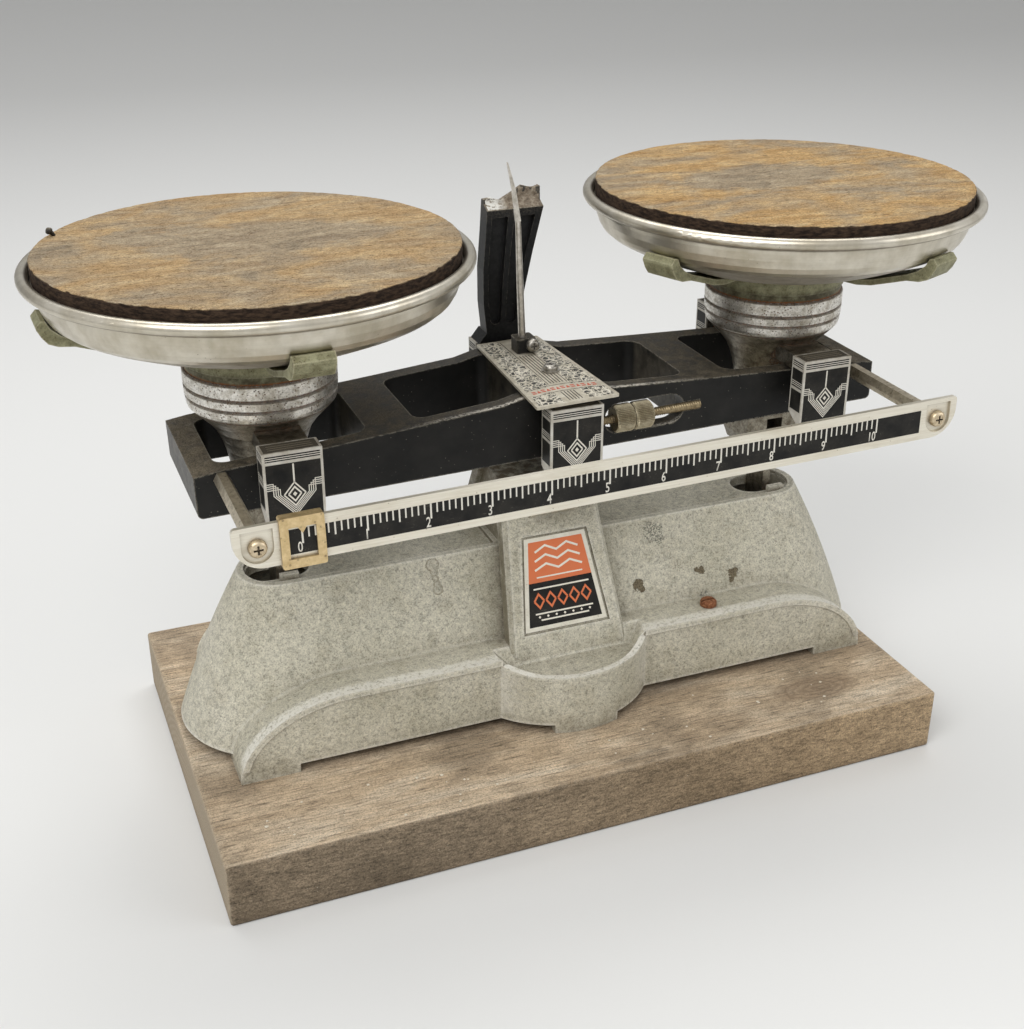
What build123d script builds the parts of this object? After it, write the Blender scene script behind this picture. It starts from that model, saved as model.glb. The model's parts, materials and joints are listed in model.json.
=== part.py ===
from build123d import *
import os
from math import cos, sin, pi, radians

os.makedirs("parts", exist_ok=True)

# Lengths in mm. x runs along the beam, y points away from the graduated bar, z is up.
# The origin is on the board's underside, straight below the centre knife edge.

# Balance geometry
ARM = 103.1
KNIFE_Z = 140.0
LINK_Z = 45.0
TILT = 1.07
LIFT = ARM * sin(radians(TILT))
SHIFT = ARM * (1 - cos(radians(TILT)))

# Board
BOARD_L = 2 * ARM + 78.8
BOARD_W = 164.0
BOARD_H = 25.6
BOARD_X = -3.4
BOARD_Y = -4.7

# Base casting
RIM_Z = 29.2
ROOF_Z = 88.0
ROOF_R = 15.0
MID_Z = 57.0
MID_C = ARM + 2.4
MID_R = 27.8
FOOT_C = ARM + 2.9
FOOT_R = 38.0
WALL = 4.0
SKIRT_Y = 44.0
SKIRT_TOP = 55.2
SKIRT_X = ARM + 27.9
FOOT_X = ARM + 5.9
BULGE_R = 39.0
BULGE_Y = 19.5
BULGE_TOP = 49.3
PILLAR_TOP = 112.0
PILLAR_LOW = 44.0
LEAN = 0.4116

# Bearings and their covers
COVER_X = 10.25
COVER_FRONT = 42.0
COVER_BACK = 33.7
SHEET = 0.8
CENTRE_TOP = 151.6
SIDE_TOP = 154.0
KNIFE_END = 39.5
EDGE_GAP = 0.1

# Beam
BEAM_X = ARM + 30.9
BEAM_Y = 27.5
RAIL_Y = 21.0
BEAM_LOW = 128.0
HUB_TOP = 153.4
PLATE_T = 1.0

# Graduated bar
BAR_X = ARM + 29.1
BAR_FRONT = 82.1
BAR_T = 1.6
BAR_LOW = 134.5
BAR_HIGH = 149.2
BAR_FIX_X = ARM + 21.4
BAR_FIX_Z = 141.5
RIDER_X = -(ARM + 7.3)
RIDER_W = 14.2
RUN = 0.15
POCKET = 0.9

# Zero adjuster
ROD_Z = 138.3
ROD_R = 1.75
ROD_Y = -27.5
NUT_R = 5.3

# Pans
RIM_R = 74.1
BEAD_R = 2.1
BEAD_Z = 207.6
DISC_R = 71.4
DISC_LOW = 205.4
DISC_TOP = 213.4
DISH_LOW = 183.4
COLLAR_TOP = 171.6
HUB_FLOOR = 174.8
SPIDER_TURN = {"left": 2.0, "right": 23.0}


def block(x0, x1, y0, y1, z0, z1):
    centre = Pos((x0 + x1) / 2, (y0 + y1) / 2, (z0 + z1) / 2)
    return centre * Box(x1 - x0, y1 - y0, z1 - z0)


def cyl_z(x, y, r, z0, z1):
    return Pos(x, y, (z0 + z1) / 2) * Cylinder(r, z1 - z0)


def cyl_y(x, z, r, y0, y1):
    return Pos(x, (y0 + y1) / 2, z) * Rot(90, 0, 0) * Cylinder(r, y1 - y0)


def cyl_x(y, z, r, x0, x1):
    return Pos((x0 + x1) / 2, y, z) * Rot(0, 90, 0) * Cylinder(r, x1 - x0)


def prism_y(points, y0, y1):
    outline = Polyline([(x, y0, z) for x, z in points], close=True)
    return extrude(make_face(outline), amount=y1 - y0, dir=(0, 1, 0))


def prism_x(points, x0, x1):
    outline = Polyline([(x0, y, z) for y, z in points], close=True)
    return extrude(make_face(outline), amount=x1 - x0, dir=(1, 0, 0))


def turned(points):
    outline = Polyline([(r, 0, z) for r, z in points], close=True)
    return revolve(make_face(outline), axis=Axis.Z)


def back(shape):
    return mirror(shape, about=Plane.XZ)


def both(shape):
    return shape + back(shape)


def save(shape, name):
    export_step(shape, "parts/" + name + ".step")


def tilted(shape):
    return Pos(0, 0, KNIFE_Z) * Rot(0, -TILT, 0) * Pos(0, 0, -KNIFE_Z) * shape


def end_shift(side):
    s = -1 if side == "left" else 1
    return Pos(-s * SHIFT, 0, s * LIFT)


def link_tilted(shape):
    return Pos(0, 0, LINK_Z) * Rot(0, -TILT, 0) * Pos(0, 0, -LINK_Z) * shape


def cross_recess(r, depth, top):
    arm = block(-r, r, -0.35, 0.35, top - depth, top + 1)
    return arm + Rot(0, 0, 90) * arm


def pan_head(r, height, shank_r, shank):
    head = Cylinder(r, height, align=(Align.CENTER, Align.CENTER, Align.MIN))
    head = fillet(head.edges().group_by(Axis.Z)[-1], height * 0.62)
    stem = Cylinder(shank_r, shank, align=(Align.CENTER, Align.CENTER, Align.MAX))
    return head - cross_recess(r * 0.52, height * 0.5, height) + stem


# Board with the four screws that come up into the base
def board_screw_places():
    return [(x, y) for x in (-80.0, 80.0) for y in (-33.0, 33.0)]


def wood_board():
    b = Pos(BOARD_X, BOARD_Y, BOARD_H / 2) * Box(BOARD_L, BOARD_W, BOARD_H)
    b = fillet(b.edges(), 1.2)
    for x, y in board_screw_places():
        b -= cyl_z(x, y, 2.1, -1, BOARD_H + 1)
        b -= Pos(x, y, 1.65) * Cone(4.8, 2.1, 2.7)
        b -= cyl_z(x, y, 4.8, -1, 0.3)
    return b


def board_screws():
    made = []
    for x, y in board_screw_places():
        s = Pos(x, y, 1.65) * Cone(4.8, 2.1, 2.7)
        s += cyl_z(x, y, 2.0, 2.9, BOARD_H + 10)
        s -= block(x - 5, x + 5, y - 0.5, y + 0.5, 0.2, 1.6)
        made.append(s)
    return Compound(made)


# Base casting
def stadium(c, r, z):
    return Pos(0, 0, z) * SlotCenterToCenter(2 * c, 2 * r)


def body_volume(inset, low, high):
    lower = stadium(FOOT_C, FOOT_R - inset, low)
    middle = stadium(MID_C, MID_R - inset, MID_Z)
    upper = stadium(ARM, ROOF_R - inset, high)
    return loft([lower, middle, upper])


def skirt_outline(inset, low):
    top = SKIRT_TOP - inset
    a = 43.0 - inset
    b = top - BOARD_H
    x0 = SKIRT_X - 43.0
    steps = [pi / 2 * k / 14 for k in range(15)]
    right = [(x0 + a * cos(t), BOARD_H + b * sin(t)) for t in steps]
    left = [(-x, z) for x, z in reversed(right)]
    feet = [(-FOOT_X, BOARD_H), (-FOOT_X, low), (FOOT_X, low), (FOOT_X, BOARD_H)]
    return right + left + feet


def skirt():
    s = prism_y(skirt_outline(0, RIM_Z), -SKIRT_Y, -24)
    lip = prism_y(skirt_outline(0, RIM_Z), -SKIRT_Y - 0.7, -SKIRT_Y)
    lip -= prism_y(skirt_outline(2.4, 20), -SKIRT_Y - 2, -SKIRT_Y + 1)
    lip -= block(-200, 200, -50, -40, 20, 31)
    return s + lip


def skirt_space():
    s = prism_y(skirt_outline(WALL, 20), -SKIRT_Y + WALL, -16)
    s -= cyl_z(0, -BULGE_Y, BULGE_R + WALL, BULGE_TOP - WALL, 60)
    return s + block(-SKIRT_X + WALL, SKIRT_X - WALL, -SKIRT_Y + WALL, -16, 20, 27)


def bulge_air():
    side = [(-62, 50.0), (-52, 50.4), (-44, 52.8), (-44, 60), (-62, 60)]
    lip = cyl_z(0, -BULGE_Y, BULGE_R, 40, 60) & prism_x(side, -60, 60)
    inside = cyl_z(0, -BULGE_Y, BULGE_R - 2.2, 40, 60) & block(-60, 60, -62, -44, 40, 60)
    inside += block(-33, 33, -44, -30, 40, 60)
    floor = Pos(0, -60, 0) * frustum(24.9, 19, BULGE_TOP, 31.3, 24.4, BULGE_TOP + 6.4)
    return lip + (floor & inside)


def bulge():
    shape = cyl_z(0, -BULGE_Y, BULGE_R, RIM_Z, SKIRT_TOP - 0.2) & block(-60, 60, -62, -42, 20, 60)
    pad = cyl_z(0, -BULGE_Y, BULGE_R, BOARD_H, RIM_Z) & block(-13, 13, -62, -46, 20, 40)
    return shape + pad


def bulge_space():
    shape = cyl_z(0, -BULGE_Y, BULGE_R - WALL, 20, BULGE_TOP - WALL)
    return shape & block(-60, 60, -62, -20, 20, 60)


def face_y(z):
    return 36.5 + LEAN * (59.5 - z)


def frustum(x0, y0, z0, x1, y1, z1):
    low = Pos(0, 0, z0) * Rectangle(2 * x0, 2 * y0)
    high = Pos(0, 0, z1) * Rectangle(2 * x1, 2 * y1)
    return loft([low, high], ruled=True)


def pillar():
    y0 = face_y(PILLAR_LOW)
    y1 = face_y(PILLAR_TOP)
    full = frustum(24.8, y0, PILLAR_LOW, 18.8, y1, PILLAR_TOP)
    core = frustum(22.6, y0 - 1, PILLAR_LOW, 16.6, y1 - 1, PILLAR_TOP)
    front = full - Pos(0, 7, 0) * full
    upright = [e for e in front.edges() if e.length > 50]
    upright.sort(key=lambda e: e.center().Y)
    return core + both(chamfer(upright[:2], 1.6))


def pillar_space():
    y0 = face_y(20) - 9
    y1 = face_y(106) - 9
    return frustum(22, y0, 20, 13, y1, 106)


# The front face of the pillar leans back; the label sits in a shallow recess in it
def label_plane(depth):
    n = Vector(0, -1, LEAN).normalized()
    middle = Vector(0, -face_y(76.0), 76.0)
    return Plane(origin=middle - n * depth, x_dir=(1, 0, 0), z_dir=n)


def label_shape(grow, depth, thick):
    p = label_plane(depth)
    low = 17.1 + grow
    high = 12.6 + grow
    half = 17.8 + grow
    corners = [(-low, -half), (low, -half), (high, half), (-high, half)]
    return extrude(p * make_face(Polyline(corners, close=True)), amount=thick)


def bearing_arm():
    side = [(-12, 99), (-12, 112), (-27, 118.5), (-33.7, 122), (-33.7, 150.8)]
    side += [(-41.2, 150.8), (-41.2, 119), (-31, 109), (-19, 99)]
    w = COVER_X - SHEET
    arm = prism_x(side, -w, w)
    arm -= block(-6.5, 6.5, -40.2, -33, KNIFE_Z - 8, 149.2)
    return arm


def base_lugs():
    lugs = Part() + block(-8, 8, -12, -6, LINK_Z - 7, 108)
    lugs = both(lugs)
    return lugs - cyl_y(0, LINK_Z, 2.0, -20, 20)


def base_casting():
    b = both(skirt() + bulge() - bulge_air())
    b += body_volume(0, RIM_Z, ROOF_Z)
    b += pillar()
    hollow = body_volume(WALL, RIM_Z - 0.01, ROOF_Z - WALL - 1.2)
    hollow += both(skirt_space())
    hollow += both(bulge_space())
    b -= hollow
    b -= pillar_space()
    recess = extrude(stadium(ARM, ROOF_R - 2.6, ROOF_Z - 1.2), amount=2.4)
    keep = frustum(24.8, face_y(PILLAR_LOW), PILLAR_LOW, 18.8, face_y(112), 112)
    b -= recess - keep
    for s in (-1, 1):
        b -= Pos(s * ARM, 0, ROOF_Z - 10) * extrude(SlotCenterToCenter(8, 16), amount=20)
        b += block(s * ARM - 1, s * ARM + 6, -10.8, -8.4, ROOF_Z - 2.4, ROOF_Z + 1.4)
    b += both(bearing_arm())
    b += base_lugs()
    for x, y in board_screw_places():
        b += cyl_z(x, y, 5.0, BOARD_H, 42)
        out = 1 if y > 0 else -1
        b += block(x - 2, x + 2, min(y, out * 42), max(y, out * 42), RIM_Z, 42)
        b -= cyl_z(x, y, 2.0, 20, BOARD_H + 10)
    b -= label_shape(0.9, 0.9, 4)
    b -= cyl_z(62, -36, 1.7, SKIRT_TOP - 12, SKIRT_TOP + 4)
    return b


def cover(x, top, low_front, low_back):
    side = [(-COVER_FRONT, low_front), (-COVER_BACK, low_back)]
    side += [(-COVER_BACK, top), (-COVER_FRONT, top)]
    shell = prism_x(side, x - COVER_X, x + COVER_X)
    w = COVER_X - SHEET
    return shell - block(x - w, x + w, -COVER_FRONT + SHEET, 0, 90, top - SHEET)


def agate(x, up):
    low = KNIFE_Z - 8 if up else KNIFE_Z - 2.5
    high = KNIFE_Z + 2.5 if up else KNIFE_Z + 7.4
    stone = block(x - 6.5, x + 6.5, -40.2, -34.4, low, high)
    s = 1 if up else -1
    apex = KNIFE_Z - s * EDGE_GAP
    wide = 6 / 0.577
    cut = [(x, apex), (x - wide, apex + s * 6), (x + wide, apex + s * 6)]
    return stone - prism_y(cut, -50, -30)


def dial_post():
    left = [(-6.2, 156.5), (-7.4, 168), (-7.4, 182), (-6.2, 196), (-5.0, 214)]
    right = [(18.6, 214), (17.6, 205), (13.2, 188), (9.6, 172), (8.6, 160), (8.2, 156.5)]
    p = prism_y(left + right, 32, 39)
    foot = [(-9.5, 152.4), (-6.2, 156.5), (8.2, 156.5), (10.4, 152.4)]
    p += prism_y(foot, 32, 41.5)
    inner = [(-4.6, 162), (-5.4, 170), (-5.2, 184), (-3.6, 202), (3.0, 202)]
    inner += [(1.4, 186), (0.2, 170), (-0.2, 162)]
    p -= prism_y(inner, 31, 34.2)
    p -= cyl_y(-2.4, 162, 2.2, 31, 34.2)
    outer = [(1.9, 162), (2.3, 170), (3.7, 186), (5.6, 202), (14.2, 202)]
    outer += [(10.4, 188), (7.4, 174), (6.3, 162)]
    p -= prism_y(outer, 31, 34.2)
    p -= cyl_y(4.1, 162, 2.2, 31, 34.2)
    top = [(-20, 230), (-20, 207.0), (-2.5, 208.4), (1.5, 207.2), (6.5, 209.8)]
    top += [(10.5, 212.2), (14.5, 211.0), (30, 212.4), (30, 230)]
    p -= prism_y(top, 31, 42)
    wedge = [(31, 204.4), (36.2, 206.6), (38.0, 212.6), (42, 213.4), (42, 230), (31, 230)]
    p -= prism_x(wedge, -20, 40)
    return p


def slotted_screw():
    head = cyl_z(62, -36, 3.3, SKIRT_TOP, SKIRT_TOP + 2.6)
    head = fillet(head.edges().group_by(Axis.Z)[-1], 1.2)
    head -= block(58, 66, -36.5, -35.5, SKIRT_TOP + 1.5, SKIRT_TOP + 4)
    return head + cyl_z(62, -36, 1.7, SKIRT_TOP - 9, SKIRT_TOP)


# Beam: a ladder frame with two windows on each side of the hub
def beam_outline():
    half = [(8.5, HUB_TOP), (14, 152.4), (22, 150.6), (BEAM_X - 80, 148.5), (BEAM_X - 44, 146.3)]
    half += [(BEAM_X - 8, 144.4), (BEAM_X, 143.4), (BEAM_X, BEAM_LOW)]
    left = [(-x, z) for x, z in reversed(half)]
    return half + left


def window(x0, x1):
    w = block(x0, x1, -RAIL_Y, RAIL_Y, 100, 170)
    return fillet(w.edges().filter_by(Axis.Z), 5)


def knife_outline(x, up, grow):
    s = 1 if up else -1
    w = 3.0 + grow
    tail = KNIFE_Z - s * 8.5
    neck = KNIFE_Z - s * 4.5
    return [(x, KNIFE_Z), (x - w, neck), (x - w, tail), (x + w, tail), (x + w, neck)]


def centre_knife():
    return prism_y(knife_outline(0, False, 0), -KNIFE_END, KNIFE_END)


def end_knives(x):
    front = prism_y(knife_outline(x, True, 0), -KNIFE_END, -RAIL_Y)
    return [front, back(front)]


def beam_casting():
    b = prism_y(beam_outline(), -BEAM_Y, BEAM_Y)
    b = fillet(b.edges().filter_by(Axis.Y).group_by(Axis.Z)[0], 2.0)
    for s in (-1, 1):
        for near, far in ((10, ARM - 49.6), (ARM - 32.1, ARM + 22.4)):
            b -= window(min(s * near, s * far), max(s * near, s * far))
        for knife in end_knives(s * ARM):
            b -= knife
    b -= centre_knife()
    slot = Pos(34, 0, ROD_Z) * Rot(90, 0, 0) * SlotOverall(33.0, 11.9)
    b -= extrude(slot, amount=40)
    b -= cyl_x(ROD_Y, ROD_Z, ROD_R, 8, 57.2)
    b -= cyl_z(3.2, -10.6, 1.5, HUB_TOP - 6, HUB_TOP + 1)
    b -= cyl_z(1.8, 14.0, 1.45, HUB_TOP - 4, HUB_TOP + 1)
    return b


def top_plate():
    y0 = -42.1
    y1 = 27.3
    x = 0.6
    corners = [(x - 16, y0), (x + 16, y0), (x + 12.8, y1), (x - 12.8, y1)]
    p = Pos(0, 0, HUB_TOP) * make_face(Polyline(corners, close=True))
    p = extrude(p, amount=PLATE_T)
    p = fillet(p.edges().filter_by(Axis.Z), 0.8)
    p -= cyl_z(3.2, -10.6, 1.5, HUB_TOP - 1, HUB_TOP + 3)
    p -= cyl_z(1.8, 14.0, 1.45, HUB_TOP - 1, HUB_TOP + 3)
    return p


def plate_screw():
    z = HUB_TOP + PLATE_T
    washer = cyl_z(3.2, -10.6, 3.4, z, z + 0.6)
    return washer + Pos(3.2, -10.6, z + 0.6) * pan_head(2.7, 2.0, 1.5, 6.0)


def pointer_block():
    z = HUB_TOP + PLATE_T
    b = block(-1.6, 6.2, 10.4, 17.6, z, z + 5.6)
    b = fillet(b.edges().filter_by(Axis.Z), 1.0)
    b -= cyl_z(1.8, 14.0, 1.45, z - 1, z + 8)
    return b - cyl_y(4.5, z + 3.0, 0.9, 5, 15)


def clamp_screw():
    z = HUB_TOP + PLATE_T
    return Pos(4.5, 10.4, z + 3.0) * Rot(90, 0, 0) * pan_head(2.6, 2.2, 0.9, 4.0)


def needle():
    z = HUB_TOP
    sections = [(1.8, z - 3, 1.45), (1.8, z + 6, 1.45), (1.3, 180, 1.35), (0.9, 205, 1.05)]
    faces = [Pos(x, 14.0, h) * Circle(r) for x, h, r in sections]
    rod = loft(faces[0:2]) + loft(faces[1:], ruled=True)
    low = Pos(0.9, 14.0, 205) * Rectangle(2.0, 1.4)
    mid = Pos(-0.6, 14.0, 217) * Rectangle(1.5, 0.9)
    tip = Pos(-2.9, 14.0, 227) * Rectangle(0.5, 0.5)
    return rod + loft([low, mid, tip], ruled=True)


def standoff(x):
    hexagon = Pos(x, -BEAM_Y, BAR_FIX_Z) * Rot(90, 0, 0) * RegularPolygon(2.5, 6, major_radius=False)
    rod = extrude(hexagon, amount=BAR_FRONT - BAR_T - BEAM_Y)
    return rod - cyl_y(x, BAR_FIX_Z, 1.3, -BAR_FRONT, -BAR_FRONT + 12)


def pocket(x):
    floor = -BAR_FRONT + POCKET
    shape = cyl_y(x, BAR_FIX_Z, 5.1, -BAR_FRONT - 1, floor)
    shape += block(x - 5.1, x + 5.1, -BAR_FRONT - 1, floor, BAR_FIX_Z, 147.6)
    return shape


def graduated_bar():
    b = block(-BAR_X, BAR_X, -BAR_FRONT, -BAR_FRONT + BAR_T, BAR_LOW, BAR_HIGH)
    ends = b.edges().filter_by(Axis.Y)
    b = fillet(ends.group_by(Axis.Z)[0], 10.0)
    b = fillet(b.edges().filter_by(Axis.Y).group_by(Axis.Z)[-1], 1.4)
    for x in (-BAR_FIX_X, BAR_FIX_X):
        b -= pocket(x)
        b -= cyl_y(x, BAR_FIX_Z, 1.3, -BAR_FRONT - 1, -BAR_FRONT + 5)
    return b


def bar_screws():
    made = []
    for x in (-BAR_FIX_X, BAR_FIX_X):
        place = Pos(x, -BAR_FRONT + POCKET, BAR_FIX_Z) * Rot(90, 0, 0)
        made.append(place * pan_head(3.0, 2.2, 1.3, 8.0))
    return Compound(made)


def rider():
    x0 = RIDER_X - RIDER_W / 2
    x1 = RIDER_X + RIDER_W / 2
    face = -BAR_FRONT - 1.1
    outer = block(x0, x1, face, -BAR_FRONT + BAR_T + 0.8, 132.9, 150.4)
    outer = fillet(outer.edges().filter_by(Axis.Y), 0.8)
    y1 = -BAR_FRONT + BAR_T + RUN
    r = outer - block(x0 - 1, x1 + 1, -BAR_FRONT - RUN, y1, BAR_LOW - RUN, BAR_HIGH + RUN)
    hole = block(RIDER_X - 4.4, RIDER_X + 4.4, -90, -BAR_FRONT, 136.0, 146.9)
    tooth = [(RIDER_X - 1.5, 147), (RIDER_X + 1.5, 147), (RIDER_X, 144.6)]
    return r - hole + prism_y(tooth, face, -BAR_FRONT - RUN)


def tare_rod():
    return cyl_x(ROD_Y, ROD_Z, ROD_R, 8, 57.2)


def tare_nut(x0, x1):
    n = cyl_x(ROD_Y, ROD_Z, NUT_R, x0, x1)
    n = chamfer(n.edges().filter_by(GeomType.CIRCLE), 0.5)
    return n - cyl_x(ROD_Y, ROD_Z, ROD_R + 0.06, x0 - 1, x1 + 1)


# Pan supports, drawn around their own knife edge at x = 0 and moved to each end
def support_casting():
    rings = [(0, 124), (12.6, 124), (13.2, 134), (14.3, 140), (15.5, 144), (17.2, 148)]
    rings += [(20.2, 152), (23.6, 155.4), (25.2, 157.2), (26.1, 158.2), (26.4, 159.2)]
    rings += [(26.6, 161.2), (25.8, 161.7), (25.8, 162.1), (26.8, 162.6), (26.9, 165.2)]
    rings += [(25.9, 165.7), (25.9, 166.1), (26.9, 166.6), (26.9, COLLAR_TOP - 0.8)]
    rings += [(26.2, COLLAR_TOP), (0, COLLAR_TOP)]
    s = turned(rings)
    s += block(-8, 8, -34.5, 34.5, 147.4, SIDE_TOP - SHEET)
    w = COVER_X - SHEET
    side = [(-COVER_FRONT + SHEET, 128.4), (-COVER_BACK, 133.2)]
    side += [(-COVER_BACK, SIDE_TOP - SHEET), (-COVER_FRONT + SHEET, SIDE_TOP - SHEET)]
    house = prism_x(side, -w, w) - block(-6.5, 6.5, -40.2, -33, 120, KNIFE_Z + 7.4)
    s += both(house)
    foot = [(-11.5, 126), (-13, 110), (-11, 105), (11, 105), (13, 110), (11.5, 126)]
    s += prism_y(foot, -9, 9)
    s -= block(-3.4, 3.6, -20, 20, 112.6, 117.4)
    s -= block(-1.65, 1.65, -6.5, 6.5, 90, 111)
    return s - cyl_z(0, 0, 2.0, HUB_FLOOR - 13, 180)


def check_rod():
    r = block(-1.65, 1.65, -6.5, 6.5, LINK_Z - 7, 111)
    r -= block(-5, 5, -2.9, 2.9, LINK_Z - 20, LINK_Z + 7)
    return r - cyl_y(0, LINK_Z, 1.5, -20, 20)


def spider():
    top = DISH_LOW - 0.1
    s = cyl_z(0, 0, 26.0, COLLAR_TOP, 175) + cyl_z(0, 0, 26.8, 174.5, top)
    s -= cyl_z(0, 0, 20.0, HUB_FLOOR, 190)
    line = [(23, top), (40.5, top), (47, 184.6), (54, 187.0), (61, 189.4), (65.4, 191.6)]
    line += [(68.3, 194.2), (69.6, 196.9), (71.0, 197.1), (72.8, 195.2), (72.7, 194.3)]
    line += [(71.4, 191.6), (69.6, 189.2), (66.5, 187.9), (61.5, 187.3), (54.5, 184.9)]
    line += [(47.4, 182.5), (41, 181.4), (23, 181.4)]
    outline = Polyline([(x, -6.8, z) for x, z in line], close=True)
    arm = extrude(make_face(outline), amount=13.6, dir=(0, 1, 0))
    for k in range(4):
        s += Rot(0, 0, 90 * k) * arm
    return s - cyl_z(0, 0, 2.0, 170, 185)


def spider_screw():
    return Pos(0, 0, HUB_FLOOR) * pan_head(3.8, 2.2, 2.0, 11.0)


# Pan: thin dish with a rolled rim, and the wood disc lying in it
def dish():
    outer = [(0, DISH_LOW), (40, DISH_LOW), (44, 184.4), (48, 186.0), (54, 188.2)]
    outer += [(60, 190.8), (64, 192.6), (66.5, 193.9), (68.6, 195.6), (69.8, 197.6)]
    outer += [(70.8, 200.4), (71.4, 203.2), (71.5, 204.9), (73.4, 205.9)]
    inner = [(72.8, 207.0), (71.9, 205.4), (70.5, 205.3), (70.2, 203.2), (69.6, 200.6)]
    inner += [(68.6, 198.1), (67.6, 196.4), (65.8, 195.0), (63.4, 193.8), (59.5, 192.0)]
    inner += [(53.5, 189.4), (47.5, 187.2), (43.7, 185.6), (39.8, 184.6), (0, 184.6)]
    d = turned(outer + inner)
    bead = Pos(0, 0, BEAD_Z) * Torus(RIM_R, BEAD_R)
    return d + bead


def wood_disc():
    d = cyl_z(0, 0, DISC_R, DISC_LOW, DISC_TOP)
    return fillet(d.edges().filter_by(GeomType.CIRCLE), 0.5)


def check_link():
    b = block(-ARM - 5.5, ARM + 5.5, -2.5, 2.5, LINK_Z - 4, LINK_Z + 4)
    b = fillet(b.edges().filter_by(Axis.Y), 3.0)
    b += cyl_y(0, LINK_Z, 6.0, -5.5, 5.5)
    b -= cyl_y(0, LINK_Z, 2.05, -20, 20)
    for s in (-1, 1):
        b -= cyl_y(s * ARM, LINK_Z, 1.8, -20, 20)
    return b


# Fixed parts
save(wood_board(), "wood_board")
save(board_screws(), "board_screws")
save(base_casting(), "base_casting")
save(label_shape(0, 0.9, 0.5), "label_plate")
save(cover(0, CENTRE_TOP, 124.0, 128.0), "centre_cover_front")
save(back(cover(0, CENTRE_TOP + 0.8, 124.0, 128.0)), "centre_cover_back")
save(agate(0, True), "centre_bearing_front")
save(back(agate(0, True)), "centre_bearing_back")
save(dial_post(), "dial_post")
save(slotted_screw(), "base_screw")
save(cyl_y(0, LINK_Z, 2.0, -12, 12), "link_centre_pin")

# Beam parts, all turned together to the resting tilt
save(tilted(beam_casting()), "beam_casting")
save(tilted(centre_knife()), "centre_knife")
save(tilted(Compound(end_knives(-ARM))), "end_knives_left")
save(tilted(Compound(end_knives(ARM))), "end_knives_right")
save(tilted(top_plate()), "top_plate")
save(tilted(plate_screw()), "plate_screw")
save(tilted(pointer_block()), "pointer_block")
save(tilted(clamp_screw()), "clamp_screw")
save(tilted(needle()), "pointer")
save(tilted(tare_rod()), "tare_rod")
save(tilted(standoff(-BAR_FIX_X)), "standoff_left")
save(tilted(standoff(BAR_FIX_X)), "standoff_right")
save(tilted(graduated_bar()), "graduated_bar")
save(tilted(bar_screws()), "bar_screws")
save(tilted(rider()), "rider")
save(tilted(tare_nut(21.0, 28.5)), "tare_nut")
save(tilted(tare_nut(28.8, 36.2)), "tare_lock_nut")

# Pan assemblies stay level and ride on the ends of the beam
for side in ("left", "right"):
    x = -ARM if side == "left" else ARM
    place = end_shift(side) * Pos(x, 0, 0)
    turn = Rot(0, 0, SPIDER_TURN[side])
    side_cover = cover(0, SIDE_TOP, 127.0, 132.0)
    save(place * support_casting(), "pan_support_" + side)
    save(place * check_rod(), "check_rod_" + side)
    save(place * agate(0, False), "pan_bearing_front_" + side)
    save(place * back(agate(0, False)), "pan_bearing_back_" + side)
    save(place * side_cover, "side_cover_front_" + side)
    save(place * back(side_cover), "side_cover_back_" + side)
    save(place * turn * spider(), "pan_spider_" + side)
    save(place * spider_screw(), "spider_screw_" + side)
    save(place * cyl_y(0, LINK_Z, 1.5, -6.5, 6.5), "link_pin_" + side)
    save(place * dish(), "pan_dish_" + side)
    save(place * wood_disc(), "wood_disc_" + side)

save(link_tilted(check_link()), "check_link")
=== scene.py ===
"""Looks of a two-pan trip balance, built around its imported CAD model.

Lengths in this script are in millimetres unless a name says otherwise; the
helpers turn them into metres. Finishes read object coordinates, which are the
rest coordinates of the whole balance.
"""
import json
import random
from math import cos, pi, radians, sin

import bmesh
import bpy
from mathutils import Matrix, Vector, noise as field

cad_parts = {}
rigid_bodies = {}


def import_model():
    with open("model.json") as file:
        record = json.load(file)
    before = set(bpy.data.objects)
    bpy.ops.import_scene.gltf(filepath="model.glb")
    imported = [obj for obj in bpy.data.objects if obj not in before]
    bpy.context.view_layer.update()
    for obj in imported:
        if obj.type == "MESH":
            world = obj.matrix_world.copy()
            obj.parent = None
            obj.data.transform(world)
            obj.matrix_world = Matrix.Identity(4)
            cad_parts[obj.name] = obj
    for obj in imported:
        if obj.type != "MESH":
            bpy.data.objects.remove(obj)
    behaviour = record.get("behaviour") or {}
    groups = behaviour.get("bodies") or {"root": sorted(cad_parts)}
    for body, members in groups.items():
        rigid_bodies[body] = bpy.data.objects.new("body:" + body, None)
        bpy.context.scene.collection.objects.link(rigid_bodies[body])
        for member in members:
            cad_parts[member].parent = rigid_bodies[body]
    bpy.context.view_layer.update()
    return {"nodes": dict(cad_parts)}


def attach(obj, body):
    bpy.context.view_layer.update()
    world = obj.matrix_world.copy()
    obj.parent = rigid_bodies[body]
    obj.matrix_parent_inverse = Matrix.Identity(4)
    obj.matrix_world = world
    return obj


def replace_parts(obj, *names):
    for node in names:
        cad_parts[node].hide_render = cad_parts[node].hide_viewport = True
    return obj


MM = 0.001

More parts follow.
